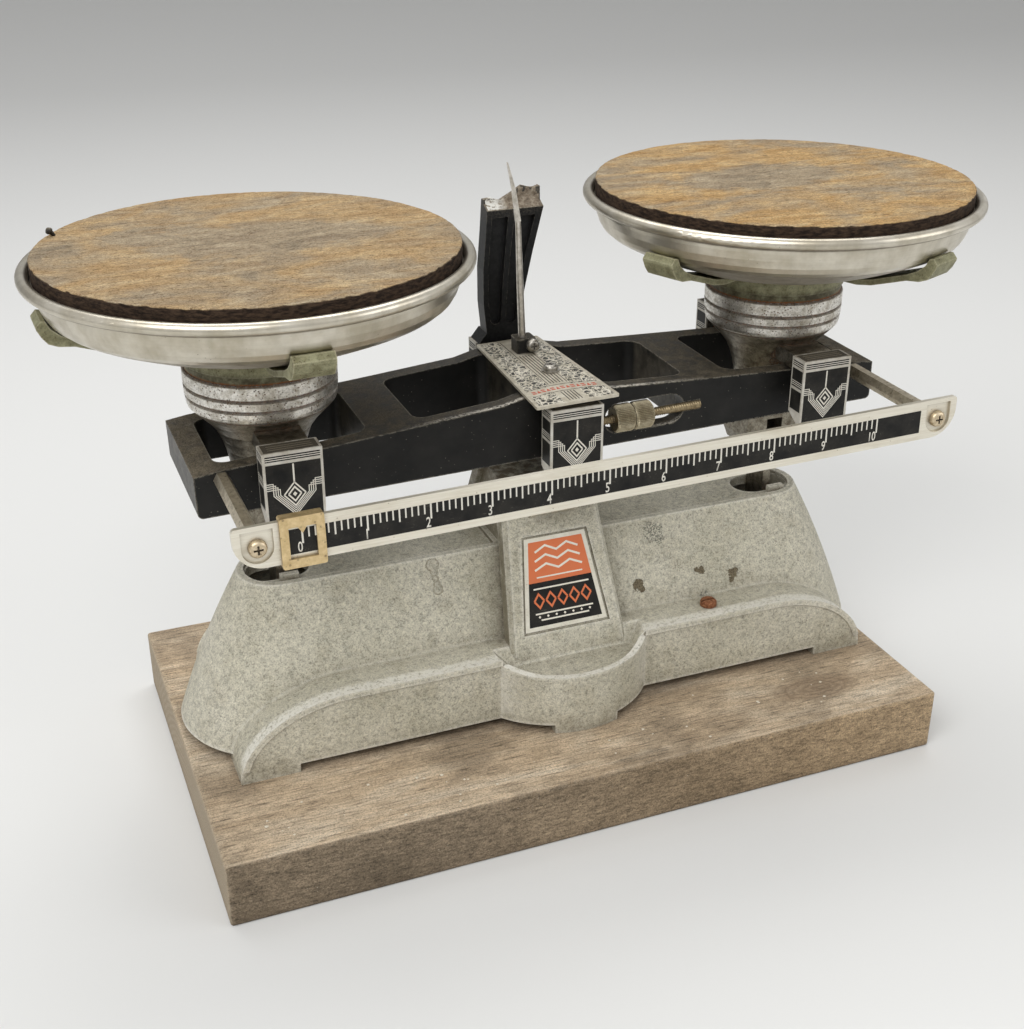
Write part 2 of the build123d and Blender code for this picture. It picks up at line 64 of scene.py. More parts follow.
# Driving dimensions of the balance, as in the CAD model
ARM = 103.1
KNIFE_Z = 140.0
TILT = radians(1.07)
LIFT = ARM * sin(TILT)
SHIFT = ARM * (1 - cos(TILT))
BAR_FRONT = 82.1
ROD_Y = -27.5
ROD_Z = 138.3
ROD_R = 1.75
NUT_R = 5.3
NUT_FACE = 4.55
PLATE_TOP = 154.4
COVER_X = 10.25
COVER_Y = 42.0
COVER_BACK = 33.7
COVER_TOPS = {"front": 151.6, "back": 152.4}
COVER_LOW = 124.2
SIDE_COVER_TOP = 154.0
SIDE_COVER_LOW = 127.2
OUTWARDS = {"front": -1, "back": 1}
SIDES = {"left": -1, "right": 1}
DISC_R = 71.4
DISC_LOW = 205.4
DISC_TOP = 213.4
BOARD_TOP = 25.6
BULGE_Y = 19.5
LABEL_LEAN = 0.4116
LABEL_Z = 76.0
LABEL_Y = -29.7
LABEL_SUNK = 0.4

# How far ink stands on its ground: panels, the lines over them, and two others
INK = 0.03
LINE = 0.05
PLATE_LINE = 0.045
NUMBER = 0.055

# Scale on the graduated bar
ZERO_X = -110.4
UNIT = 20.88
FIELD_LOW = 137.3
FIELD_HIGH = 145.9


def display(colour):
    """A colour from 0 to 255 as a shader takes it; one of four values is left as it is."""
    def linear(v):
        v /= 255
        return v / 12.92 if v <= 0.04045 else ((v + 0.055) / 1.055) ** 2.4
    return colour if len(colour) == 4 else (*map(linear, colour), 1.0)


class Finish:
    """One procedural material, with short names for the nodes that it is made of."""

    def __init__(self, name, roughness=0.5, metallic=0.0, specular=0.5):
        self.material = bpy.data.materials.new(name)
        self.material.use_nodes = True
        self.tree = self.material.node_tree
        self.shader = self.tree.nodes["Principled BSDF"]
        self.shader.inputs["Roughness"].default_value = roughness
        self.shader.inputs["Metallic"].default_value = metallic
        self.shader.inputs["Specular IOR Level"].default_value = specular
        self.source = self.tree.nodes.new("ShaderNodeTexCoord")
        self.place = self.source.outputs["Object"]
        self.facing = self.source.outputs["Normal"]
        self.x, self.y, self.z = self.axes(self.place)
        self.face = self.axes(self.facing)
        self.colour = None

    def node(self, kind, values=(), **settings):
        made = self.tree.nodes.new("ShaderNode" + kind)
        for key, value in settings.items():
            setattr(made, key, value)
        for key, value in dict(values).items():
            self.feed(made.inputs[key], value)
        return made

    def feed(self, socket, value):
        if isinstance(value, bpy.types.NodeSocket):
            self.tree.links.new(value, socket)
        else:
            socket.default_value = display(value) if socket.type == "RGBA" else value

    def at(self, scale=(1, 1, 1), shift=(0, 0, 0), turn=(0, 0, 0), source=None):
        vector = self.place if source is None else source
        values = {"Vector": vector, "Scale": scale, "Location": shift, "Rotation": turn}
        return self.node("Mapping", values).outputs["Vector"]

    def noise(self, size, detail=3.0, rough=0.55, bend=0.0, vector=None):
        """Cloudy noise whose features are about size millimetres wide."""
        values = {"Scale": 1 / (size * MM), "Detail": detail, "Roughness": rough, "Distortion": bend}
        values["Vector"] = self.place if vector is None else vector
        return self.node("TexNoise", values).outputs["Fac"]

    def cells(self, size, feature="F1", vector=None):
        values = {"Scale": 1 / (size * MM)}
        values["Vector"] = self.place if vector is None else vector
        return self.node("TexVoronoi", values, feature=feature).outputs["Distance"]

    def math(self, operation, a, b=0.0, clamp=False):
        return self.node("Math", {0: a, 1: b}, operation=operation, use_clamp=clamp).outputs[0]

    def fold(self, operation, values):
        """Carries one operation through all the values in turn."""
        out = values[0]
        for value in values[1:]:
            out = self.math(operation, out, value)
        return out

    def times(self, *values):
        return self.fold("MULTIPLY", values)

    def plus(self, *values):
        return self.fold("ADD", values)

    def most(self, *values):
        return self.fold("MAXIMUM", values)

    def minus(self, a, b):
        return self.math("SUBTRACT", a, b)

    def rest(self, value):
        """What a value leaves of 1."""
        return self.minus(1.0, value)

    def absolute(self, value):
        return self.math("ABSOLUTE", value)

    def span(self, value, low, high):
        """0 at low, 1 at high, held beyond them."""
        values = {"Value": value, "From Min": low, "From Max": high}
        return self.node("MapRange", values).outputs["Result"]

    def patch(self, low, high, size, *more, **named):
        """Patches where a noise rises from low to high."""
        return self.span(self.noise(size, *more, **named), low, high)

    def distance(self, vector, point):
        return self.node("VectorMath", {0: vector, 1: point}, operation="DISTANCE").outputs["Value"]

    def mix(self, amount, a, b, how="MIX"):
        made = self.node("Mix", data_type="RGBA", blend_type=how)
        self.feed(made.inputs[0], amount)
        self.feed(made.inputs[6], a)
        self.feed(made.inputs[7], b)
        return made.outputs[2]

    def blend(self, amount, a, b):
        made = self.node("Mix", data_type="FLOAT")
        self.feed(made.inputs[0], amount)
        self.feed(made.inputs[2], a)
        self.feed(made.inputs[3], b)
        return made.outputs[0]

    def ramp(self, value, *stops):
        made = self.node("ValToRGB", {"Fac": value})
        points = made.color_ramp.elements
        while len(points) < len(stops):
            points.new(0.5)
        for point, (where, colour) in zip(points, stops):
            point.position = where
            point.color = display(colour)
        return made.outputs["Color"]

    def axes(self, vector):
        return self.node("SeparateXYZ", {"Vector": vector}).outputs

    def join(self, x, y, z):
        return self.node("CombineXYZ", {"X": x, "Y": y, "Z": z}).outputs["Vector"]

    def edges(self, radius, low=0.02, high=0.2):
        """1 on outside and inside corners narrower than radius, 0 on open faces."""
        soft = self.node("Bevel", {"Radius": radius * MM}, samples=4).outputs["Normal"]
        true = self.node("NewGeometry").outputs["Normal"]
        dot = self.node("VectorMath", {0: soft, 1: true}, operation="DOT_PRODUCT").outputs["Value"]
        return self.span(self.rest(dot), low, high)

    def crevice(self, reach, low=0.35, high=0.9):
        """1 deep in corners, 0 in the open."""
        values = {"Distance": reach * MM}
        made = self.node("AmbientOcclusion", values, samples=6, only_local=False)
        return self.rest(self.span(made.outputs["AO"], low, high))

    def spot(self, x, y, z, size, ragged=0.5, grain=None):
        """A ragged patch round one place: 1 inside, 0 outside."""
        away = self.distance(self.place, (x * MM, y * MM, z * MM))
        grain = self.noise(size * 0.8, 3) if grain is None else grain
        values = {0: grain, 1: size * MM * ragged * 2, 2: size * MM * (1 - ragged)}
        edge = self.node("Math", values, operation="MULTIPLY_ADD").outputs[0]
        return self.math("LESS_THAN", away, edge)

    def upward(self, low=0.6, high=0.95):
        return self.span(self.face["Z"], low, high)

    def dots(self, size, reach, patch, share=0.5):
        """Small marks about size millimetres apart, gathered in patches."""
        marks = self.span(self.cells(size), reach, reach * 0.6)
        return self.times(marks, self.patch(share, share + 0.12, patch, 3))

    def grain(self, colour, value, *stops):
        """Darkens and lightens a colour by plain factors over a noise value."""
        shades = [(where, (k, k, k, 1.0)) for where, k in stops]
        return self.mix(1.0, colour, self.ramp(value, *shades), "MULTIPLY")

    def outside(self, radius, low=0.015, high=0.16):
        """1 on outside edges only: the corners that are not shaded by their surroundings."""
        open_air = self.rest(self.crevice(radius * 2.5, 0.5, 0.8))
        return self.times(self.edges(radius, low, high), open_air)

    def coat(self, over, *amounts):
        """Lays a colour over the finish, as much as the product of the amounts."""
        self.colour = self.mix(self.times(*amounts), self.colour, over)

    def shade(self, value, *stops):
        self.colour = self.grain(self.colour, value, *stops)

    def done(self, height=None, depth=0.0, strength=1.0, roughness=None, metallic=None):
        """Closes the finish, with relief of depth millimetres over a height from 0 to 1."""
        normal = None
        if height is not None:
            values = {"Height": height, "Distance": depth * MM, "Strength": strength}
            normal = self.node("Bump", values).outputs["Normal"]
        values = {"Base Color": self.colour, "Roughness": roughness, "Metallic": metallic, "Normal": normal}
        for name, value in values.items():
            if value is not None:
                self.feed(self.shader.inputs[name], value)
        return self.material


def round_axis(f, x, y):
    """Radius, angle round the vertical axis through x, y, and height."""
    dx = f.minus(f.x, x * MM)
    dy = f.minus(f.y, y * MM)
    squares = f.plus(f.times(dx, dx), f.times(dy, dy))
    return f.math("SQRT", squares), f.math("ARCTAN2", dy, dx), f.z


def board_wood():
    f = Finish("board_wood", 0.85, specular=0.15)
    long = f.at((0.1, 1, 1))
    streak = f.noise(0.95, 5, 0.74, 0.5, long)
    broad = f.noise(17, 4, 0.6, 1.0, f.at((0.22, 1, 1)))
    cloud = f.noise(34, 4, 0.6)
    grit = f.noise(0.6, 3, 0.75)
    top = f.ramp(broad, (0.32, (186, 164, 136)), (0.5, (205, 184, 156)), (0.68, (221, 205, 181)))
    top = f.mix(f.times(f.span(cloud, 0.46, 0.64), 0.75), top, (150, 134, 113))
    top = f.grain(top, streak, (0.34, 0.4), (0.44, 0.82), (0.53, 1.03), (0.66, 1.2))
    top = f.grain(top, grit, (0.36, 0.55), (0.47, 0.95), (0.56, 1.04), (0.68, 1.22))
    # The long sides are a darker, rougher saw cut; their dark colour is partly the sawn wood and partly
    # painted shade
    side = f.span(f.absolute(f.face["Y"]), 0.5, 0.8)
    end = f.span(f.absolute(f.face["X"]), 0.5, 0.8)
    sawn = f.noise(0.9, 5, 0.78, 0.3, f.at((0.2, 1, 1)))
    sawn_side_and_shade = f.mix(f.span(cloud, 0.35, 0.65), (156, 139, 116), (124, 110, 91))
    fresh = f.mix(f.span(cloud, 0.35, 0.65), (194, 169, 135), (166, 143, 112))
    sawn_side_and_shade = f.mix(f.span(f.x, -0.06, 0.1), sawn_side_and_shade, fresh)
    sawn_side_and_shade = f.grain(sawn_side_and_shade, sawn, (0.34, 0.45), (0.45, 0.84), (0.54, 1.04), (0.68, 1.35))
    sawn_side_and_shade = f.grain(sawn_side_and_shade, grit, (0.37, 0.5), (0.47, 0.92), (0.56, 1.05), (0.66, 1.38))
    f.colour = f.mix(side, top, sawn_side_and_shade)
    # Growth rings on the sawn ends
    values = {"Vector": f.at((1, 1, 1), (0, 0.02, 0.055)), "Scale": 110.0, "Distortion": 3.5,
              "Detail": 3.0, "Detail Scale": 0.7}
    rings = f.node("TexWave", values, wave_type="RINGS", rings_direction="X").outputs["Fac"]
    ends = f.mix(f.times(rings, 0.4), (178, 163, 140), (156, 139, 114))
    ends = f.grain(ends, grit, (0.34, 0.72), (0.5, 1.0), (0.68, 1.14))
    f.coat(ends, end)
    # Knots with oval rings, and stains
    for x, y, size in ((96, -66, 9), (-96, 58, 8)):
        near = f.distance(f.at((0.45, 1, 1)), (x * 0.45 * MM, y * MM, BOARD_TOP * MM))
        near = f.plus(near, f.times(f.noise(5, 4), 0.004))
        oval = f.math("PINGPONG", near, 0.0009)
        inside = f.span(near, size * 1.25 * MM, size * 0.95 * MM)
        f.coat((140, 120, 98), inside, 0.45)
        band = f.times(f.span(oval, 0.0002, 0.0008), inside)
        f.coat((112, 92, 72), band, 0.35)
    # Painted shade in the corners, where parts stand on the board
    f.coat((88, 74, 58), f.crevice(10, 0.25, 0.85), 0.6)
    f.coat((212, 196, 172), f.outside(2.2, 0.01, 0.1), f.patch(0.42, 0.54, 2.5, 4, 0.7), 0.6)
    f.coat((228, 220, 204), f.dots(1.9, 0.09, 12), 0.8)
    f.coat((92, 76, 58), f.dots(1.7, 0.16, 16, 0.52), 0.6)
    height = f.plus(f.times(streak, 0.6), f.times(grit, 0.5))
    height = f.plus(height, f.times(sawn, side, 1.2))
    return f.done(height, 0.5, 0.9, f.span(grit, -0.6, 1.2))


def base_paint():
    f = Finish("hammered_paint", 0.5, specular=0.3)
    bent = f.noise(1.9, 4, 0.72, 0.5)
    grit = f.noise(0.6, 4, 0.75)
    cloud = f.noise(40, 4, 0.55)
    patchy = f.noise(9, 4, 0.62)
    f.colour = f.mix(f.span(cloud, 0.36, 0.66), (210, 205, 187), (193, 188, 168))
    f.coat((170, 162, 139), f.span(patchy, 0.52, 0.68), 0.4)
    f.shade(bent, (0.36, 0.66), (0.46, 0.93), (0.56, 1.03), (0.68, 1.14))
    f.shade(grit, (0.37, 0.56), (0.46, 0.92), (0.55, 1.04), (0.67, 1.22))
    f.coat((92, 86, 70), f.dots(1.5, 0.2, 6, 0.46), 0.5)
    # Painted shade with grime in the inside corners, worn pale edges on the outside ones
    grime_and_shade = f.crevice(12, 0.3, 0.92)
    grime_and_shade_patches = f.blend(f.patch(0.3, 0.7, 4, 4, 0.7), 0.35, 1.0)
    f.coat((98, 87, 67), grime_and_shade, grime_and_shade_patches)
    worn = f.times(f.outside(2.4, 0.008, 0.09), f.patch(0.38, 0.52, 1.6, 4, 0.75))
    f.coat((233, 229, 216), worn, 0.85)
    # The top edge of the skirt and of its bulge is lighter in a ragged strip: rubbed bare, with a painted
    # highlight
    ragged = f.noise(1.3, 4, 0.8)
    front = f.span(f.plus(f.y, f.times(ragged, 0.004)), -0.0368, -0.0385)
    rubbed_and_highlight = f.times(front, f.span(f.absolute(f.face["Y"]), 0.85, 0.5))
    rubbed_and_highlight = f.times(rubbed_and_highlight, f.span(f.z, 0.03, 0.034))
    middle = f.math("LESS_THAN", f.absolute(f.x), 0.0305)
    away = f.distance(f.join(f.x, f.y, 0.0), (0, -BULGE_Y * MM, 0))
    ring = f.span(f.plus(away, f.times(ragged, 0.002)), 0.0372, 0.0382)
    rubbed_and_highlight = f.times(rubbed_and_highlight, f.blend(middle, 1.0, ring))
    rubbed_and_highlight = f.times(rubbed_and_highlight, f.patch(0.4, 0.5, 1.4, 4, 0.8))
    f.coat((238, 235, 224), rubbed_and_highlight, 0.8)
    # The pillar's left side is darker between its two edges: dirt and painted shade
    f.coat((112, 103, 82), f.span(f.face["X"], -0.6, -0.85), f.span(f.absolute(f.x), 0.027, 0.0255),
           f.span(f.z, 0.05, 0.056), f.span(patchy, 0.3, 0.5), 0.7)
    # Chips through to dark metal, a drip line and dark scuffs on the front
    chips = ((35.9, -25.5, 64.3, 2.3), (37.3, -26.4, 62.4, 1.4), (64.4, -25.3, 65.1, 1.8),
             (62.2, -25.0, 65.6, 1.2), (78.6, -26.7, 61.8, 2.3), (77.6, -27.6, 59.4, 1.4))
    chips = f.most(*[f.spot(*at, 0.9, ragged) for at in chips])
    f.coat(f.mix(f.span(grit, 0.4, 0.6), (84, 72, 54), (126, 116, 92)), chips)
    speckle = f.span(grit, 0.52, 0.46)
    scuffs = f.most(f.spot(44.9, -17.5, 82.9, 3.8, 0.9), f.spot(47.5, -18.6, 80.5, 2.6, 0.9),
                    f.spot(64.5, -29.5, 55.8, 2.6, 0.8))
    f.coat((76, 78, 72), scuffs, speckle, 0.75)
    run = ((-47.2, -16.3, 85.3, 2.7), (-47.0, -17.5, 82.7, 1.7), (-46.9, -18.6, 80.6, 1.5),
           (-46.6, -19.6, 78.4, 1.6), (-46.5, -20.4, 76.6, 2.2))
    outer = f.most(*[f.spot(*at, size, 0.3, ragged) for *at, size in run])
    inner = f.most(*[f.spot(*at, size - 0.6, 0.3, ragged) for *at, size in run])
    drip = f.math("SUBTRACT", outer, inner, clamp=True)
    drip = f.times(drip, f.span(bent, 0.3, 0.55))
    f.coat((112, 102, 80), drip, 0.65)
    f.coat((120, 110, 88), inner, 0.18)
    # Rust-brown stain over the top of the pillar and the bearing arms
    rusty = f.times(f.span(f.z, 0.104, 0.1125), f.patch(0.36, 0.56, 4, 4))
    f.coat(f.mix(f.noise(1.5), (84, 68, 50), (138, 126, 104)), rusty)
    height = f.plus(bent, f.times(grit, 0.55))
    height = f.minus(height, f.times(chips, 0.8))
    rough = f.blend(grime_and_shade, f.blend(grit, 0.4, 0.62), 0.85)
    return f.done(height, 0.4, 1.0, rough)


def black_paint():
    f = Finish("black_paint", 0.45, specular=0.22)
    grit = f.noise(0.5, 3, 0.65)
    skin = f.noise(1.6, 3, 0.55)
    f.colour = f.mix(f.patch(0.35, 0.7, 14, 4), (17, 17, 16), (33, 32, 30))
    # Dust and a painted sheen lie on what faces up, thicker towards the ends of the beam
    reach = f.span(f.absolute(f.x), 0.02, 0.11)
    dust = f.times(f.upward(0.5, 0.9), f.patch(0.3, 0.62, 5, 5, 0.72))
    dust = f.times(dust, f.blend(reach, 0.45, 1.0))
    dust_and_sheen_tone = f.mix(f.span(grit, 0.4, 0.6), (92, 84, 70), (136, 126, 108))
    f.coat(dust_and_sheen_tone, dust, 0.75)
    ends = f.times(f.span(f.absolute(f.x), 0.121, 0.127), f.upward(0.3, 0.9))
    f.coat(dust_and_sheen_tone, ends, f.patch(0.3, 0.7, 3, 4))
    # A film of the same dust on the upright end faces
    end = f.times(f.span(f.absolute(f.face["X"]), 0.7, 0.9), f.patch(0.3, 0.7, 8, 4, 0.65))
    f.coat((112, 106, 94), end, 0.5)
    f.coat((150, 144, 130), f.outside(0.9, 0.01, 0.14), f.patch(0.4, 0.52, 1.4, 4, 0.75), 0.85)
    front = f.span(f.y, -0.0250, -0.0264)
    near = f.span(f.absolute(f.x), 0.062, 0.03)
    crusty = f.times(front, near, f.upward(0.2, 0.7))
    crusty = f.times(crusty, f.patch(0.46, 0.52, 1.0, 4, 0.8))
    f.coat((206, 200, 188), crusty)
    f.coat((150, 143, 130), f.dots(1.8, 0.1, 8, 0.44), 0.7)
    rough = f.blend(dust, f.blend(skin, 0.32, 0.55), 0.85)
    height = f.plus(f.times(skin, 0.8), f.times(grit, 0.4))
    return f.done(height, 0.09, 0.7, rough)


def post_paint():
    """Black like the beam, greyer where the post was broken off."""
    f = Finish("post_paint", 0.45, specular=0.22)
    skin = f.noise(1.6, 3, 0.55)
    fine = f.noise(0.7, 4, 0.65)
    height = f.z
    f.colour = f.mix(f.span(skin, 0.35, 0.65), (18, 18, 18), (31, 31, 31))
    broken = f.ramp(f.noise(1.6, 5, 0.75), (0.32, (66, 58, 48)), (0.5, (118, 108, 93)),
                    (0.68, (172, 164, 148)))
    rising = f.plus(height, f.times(f.minus(skin, 0.5), 0.0016))
    high = f.times(f.upward(0.25, 0.5), f.span(rising, 0.203, 0.204))
    f.coat(broken, high)
    f.coat((112, 104, 92), f.span(height, 0.2, 0.2065), f.span(fine, 0.4, 0.7), 0.5)
    f.coat((120, 115, 104), f.outside(0.5, 0.02, 0.2), f.patch(0.45, 0.56, 2.2, 4, 0.7), 0.55)
    f.coat((120, 116, 106), f.dots(2.2, 0.09, 8), 0.5)
    relief = f.plus(f.times(skin, 0.3), f.times(high, fine, 2.0))
    return f.done(relief, 0.4, 0.7, f.blend(high, 0.42, 0.85))


def pan_metal(side):
    """Spun pan: satin wall, painted shade in the groove under the bead, dirt along the knee, a painted dark
    reflection below it.
    """
    f = Finish("pan_metal_" + side, 0.3, 1.0)
    s = SIDES[side]
    radius, angle, z = round_axis(f, s * (ARM - SHIFT), 0)
    z = f.minus(z, s * LIFT * MM)
    rings = f.join(radius, f.times(angle, 0.0012), z)
    turning = f.noise(0.45, 2, 0.5, vector=rings)
    upright = f.noise(5, 3, 0.6, vector=f.join(0.0, f.times(angle, 0.07), f.times(z, 0.3)))
    cloud = f.noise(13, 4, 0.6)
    f.colour = f.mix(f.span(cloud, 0.36, 0.66), (208, 202, 188), (178, 170, 152))
    f.shade(turning, (0.3, 0.97), (0.5, 1.0), (0.7, 1.01))
    f.shade(upright, (0.32, 0.93), (0.5, 1.0), (0.68, 1.03))
    ripple = f.times(f.minus(f.noise(5, 3), 0.5), 0.0009)
    level = f.plus(z, ripple)
    # Painted shade in the groove under the bead
    groove = f.times(f.span(z, 0.2041, 0.2047), f.span(z, 0.2064, 0.2058))
    groove = f.times(groove, f.span(radius, 0.0685, 0.07))
    knee = f.times(f.span(level, 0.193, 0.1934), f.span(level, 0.1942, 0.1937))
    knee = f.times(knee, f.span(radius, 0.0625, 0.064))
    # Painted dark reflection over everything below the knee
    under = f.times(f.span(z, 0.1936, 0.1928), 0.5)
    dirt_and_shade = f.most(f.times(groove, 0.9), f.times(knee, 0.75), under)
    dirt_and_shade = f.times(dirt_and_shade, f.blend(f.patch(0.3, 0.7, 3, 4), 0.6, 1.0))
    pits = f.times(f.dots(1.7, 0.13, 9, 0.5), 0.6)
    dirt_and_shade = f.most(dirt_and_shade, pits)
    f.coat((84, 71, 54), dirt_and_shade)
    metal = f.rest(f.times(dirt_and_shade, 0.75))
    rough = f.blend(dirt_and_shade, f.blend(cloud, 0.24, 0.42), 0.7)
    height = f.minus(f.times(turning, 0.3), pits)
    return f.done(height, 0.03, 0.5, rough, metal)


def zinc_metal(side):
    """Turned support: bright pitted collar, with rust lines, dirt and painted shade in its grooves, over a
    darker neck.
    """
    f = Finish("zinc_" + side, 0.4, 1.0)
    s = SIDES[side]
    radius, angle, z = round_axis(f, s * (ARM - SHIFT), 0)
    z = f.minus(z, s * LIFT * MM)
    rings = f.join(radius, f.times(angle, 0.0008), z)
    turning = f.noise(0.4, 3, 0.6, vector=rings)
    blot = f.noise(3.2, 5, 0.7, 0.4)
    grit = f.noise(0.55, 3, 0.7)
    collar = f.times(f.span(z, 0.1565, 0.158), f.span(z, 0.1735, 0.1725))
    bright = f.mix(f.span(blot, 0.42, 0.66), (226, 223, 216), (172, 165, 151))
    neck = f.mix(f.span(blot, 0.4, 0.62), (146, 140, 126), (104, 97, 84))
    f.colour = f.mix(collar, neck, bright)
    f.shade(turning, (0.32, 0.9), (0.5, 1.0), (0.68, 1.04))
    f.shade(grit, (0.34, 0.66), (0.46, 0.95), (0.7, 1.08))
    rust = f.mix(f.patch(0.4, 0.6, 1.1), (60, 42, 30), (118, 86, 56))
    pits = f.dots(0.95, 0.36, 3.0, 0.42)
    # Painted shade with dirt in the grooves and corners
    dirt_and_shade = f.times(f.crevice(2.5, 0.3, 0.9), f.patch(0.2, 0.6, 2.5, 4))
    levels = (0.162, 0.1659, 0.1572, 0.1714)
    lines = [f.span(f.absolute(f.minus(z, level)), 0.0006, 0.0002) for level in levels]
    lines = f.times(f.most(*lines), f.span(grit, 0.3, 0.5))
    dull = f.most(f.times(pits, f.blend(collar, 0.5, 0.9)), f.times(dirt_and_shade, 0.7), f.times(lines, 0.85))
    smear = f.times(f.spot(100, -15.5, 149.5, 5.2, 0.6), f.span(grit, 0.4, 0.55))
    dull = f.most(dull, f.times(smear, 0.9))
    f.coat(rust, dull)
    metal = f.rest(f.times(dull, 0.8))
    rough = f.blend(dull, f.blend(grit, 0.3, 0.5), 0.85)
    height = f.minus(f.plus(f.times(turning, 0.3), f.times(grit, 0.4)), pits)
    return f.done(height, 0.07, 0.8, rough, metal)


def spider_paint(side):
    """Olive drab plate, chipped pale on its edges, brown where it meets the support."""
    f = Finish("spider_paint_" + side, 0.5, 0.15, 0.3)
    s = SIDES[side]
    z = f.minus(f.z, s * LIFT * MM)
    blot = f.noise(4, 4, 0.65)
    grit = f.noise(0.6, 3, 0.7)
    f.colour = f.mix(f.span(blot, 0.38, 0.64), (158, 156, 124), (122, 118, 88))
    f.shade(grit, (0.34, 0.68), (0.46, 0.95), (0.7, 1.12))
    f.coat((196, 190, 160), f.outside(0.9, 0.01, 0.12), f.patch(0.38, 0.5, 1.5, 4, 0.7), 0.75)
    f.coat((70, 56, 38), f.dots(1.3, 0.24, 4), 0.8)
    f.coat((62, 55, 38), f.span(z, 0.1762, 0.1742), f.blend(f.span(blot, 0.35, 0.65), 0.45, 0.9))
    f.coat((132, 78, 40), f.span(z, 0.1724, 0.1719), f.span(grit, 0.35, 0.55))
    return f.done(grit, 0.08, 0.7, f.blend(grit, 0.45, 0.7))


def plain_metal(name, light, shade, roughness, grime_and_shade=0.5, streak=(1, 1, 1), speckle=0.0, size=2.0):
    """Small metal parts: tarnish, fine scratches, painted shade with dirt in the corners and bright edges.
    """
    f = Finish(name, roughness, 1.0)
    cloud = f.noise(size, 4, 0.6)
    scratch = f.noise(0.4, 3, 0.65, vector=f.at(streak))
    f.colour = f.mix(f.span(cloud, 0.3, 0.7), light, shade)
    f.coat(light, f.span(scratch, 0.5, 0.8), 0.35)
    # Painted shade with dirt in the corners, plus dark specks
    dirt_and_shade = f.times(f.crevice(1.6, 0.3, 0.95), grime_and_shade)
    spots = f.times(f.math("LESS_THAN", f.cells(size * 0.8), 0.24), f.span(cloud, 0.4, 0.6))
    dirt_and_shade = f.most(dirt_and_shade, f.times(spots, speckle))
    f.coat((62, 50, 37), dirt_and_shade)
    bright = f.times(f.edges(0.35, 0.02, 0.2), 0.5)
    f.coat(light, bright)
    rough = f.blend(dirt_and_shade, f.blend(scratch, roughness - 0.08, roughness + 0.12), 0.85)
    metal = f.rest(f.times(dirt_and_shade, 0.85))
    return f.done(scratch, 0.04, 0.6, rough, metal)


def disc_wood(side, seed, patches):
    """Thin hardwood disc: orange tan under a worn grey film, short fuzzy fibres, dark pores."""
    f = Finish("disc_wood_" + side, 0.85, specular=0.12)
    shift = (seed * 0.37, seed * 0.11, seed * 0.05)
    turn = (0, 0, radians(-5))
    fibre = f.noise(0.7, 5, 0.78, 0.6, f.at((0.33, 1, 1), shift, turn))
    bands = f.noise(5, 4, 0.65, 0.8, f.at((0.3, 1, 1), shift, turn))
    cloud = f.noise(27, 5, 0.62, 0.6, f.at((0.8, 1.25, 1), shift, (0, 0, radians(24))))
    fuzz = f.noise(0.55, 4, 0.8)
    tan = f.ramp(bands, (0.32, (178, 139, 87)), (0.5, (199, 162, 108)), (0.68, (213, 182, 132)))
    film = f.ramp(bands, (0.32, (146, 134, 116)), (0.5, (163, 150, 129)), (0.68, (183, 169, 146)))
    worn = f.blend(f.span(cloud, 0.42, 0.62), 0.4 if side == "left" else 0.12, 1.0)
    x = SIDES[side] * ARM
    for px, py, size in patches:
        near = f.distance(f.at((0.6, 1.25, 1)), ((x + px) * 0.6 * MM, py * 1.25 * MM, DISC_TOP * MM))
        near = f.plus(near, f.times(f.minus(f.noise(9, 4), 0.5), 0.03))
        worn = f.most(worn, f.span(near, size * 1.1 * MM, size * 0.7 * MM))
    f.colour = f.mix(f.times(worn, f.blend(f.span(fuzz, 0.35, 0.6), 0.6, 1.0)), tan, film)
    dark = f.times(f.patch(0.57, 0.7, 17, 4, 0.65, 0.6, f.at((0.7, 1, 1), shift)), worn)
    f.coat((128, 117, 100), dark, 0.6)
    f.shade(fibre, (0.34, 0.46), (0.45, 0.88), (0.55, 1.04), (0.68, 1.2))
    f.shade(fuzz, (0.38, 0.42), (0.47, 0.92), (0.55, 1.05), (0.66, 1.28))
    pores = f.patch(0.61, 0.66, 0.8, 3, 0.6, vector=f.at((0.25, 1, 1), shift, turn))
    f.coat((88, 64, 42), pores, 0.65)
    # Dark, coarse saw-cut edge with layers of the sheet
    edge = f.span(f.face["Z"], 0.75, 0.3)
    layers = f.noise(0.9, 3, 0.65, vector=f.at((0.3, 0.3, 1)))
    sawn = f.mix(f.span(layers, 0.38, 0.64), (38, 30, 25), (76, 61, 49))
    f.coat(sawn, edge)
    f.coat((190, 158, 118), f.outside(0.9, 0.02, 0.2), f.patch(0.42, 0.6, 1.6, 4), 0.4)
    height = f.plus(f.times(fibre, 0.6), f.times(fuzz, 0.8))
    return f.done(height, 0.5, 1.0, f.blend(worn, 0.72, 0.9))


def printed(name, colour, under, wear=0.5, roughness=0.4):
    """Printed ink: one tone, worn through in specks and along fine scratches."""
    f = Finish(name, roughness, specular=0.15)
    cloud = f.noise(7.0, 4, 0.6)
    speck = f.patch(0.62, 0.68, 0.63, 4, 0.7)
    scratch = f.patch(0.68, 0.72, 0.5, 3, 0.6, vector=f.at((0.12, 1, 1), turn=(0.3, 0.5, 0.4)))
    shade = f.mix(f.span(cloud, 0.3, 0.7), colour, under)
    f.colour = f.mix(0.86, shade, colour)
    f.coat(under, f.most(speck, scratch), f.span(cloud, 0.42, 0.62), wear)
    rough = f.blend(cloud, roughness - 0.1, roughness + 0.15)
    return f.done(speck, -0.015, 0.6, rough)


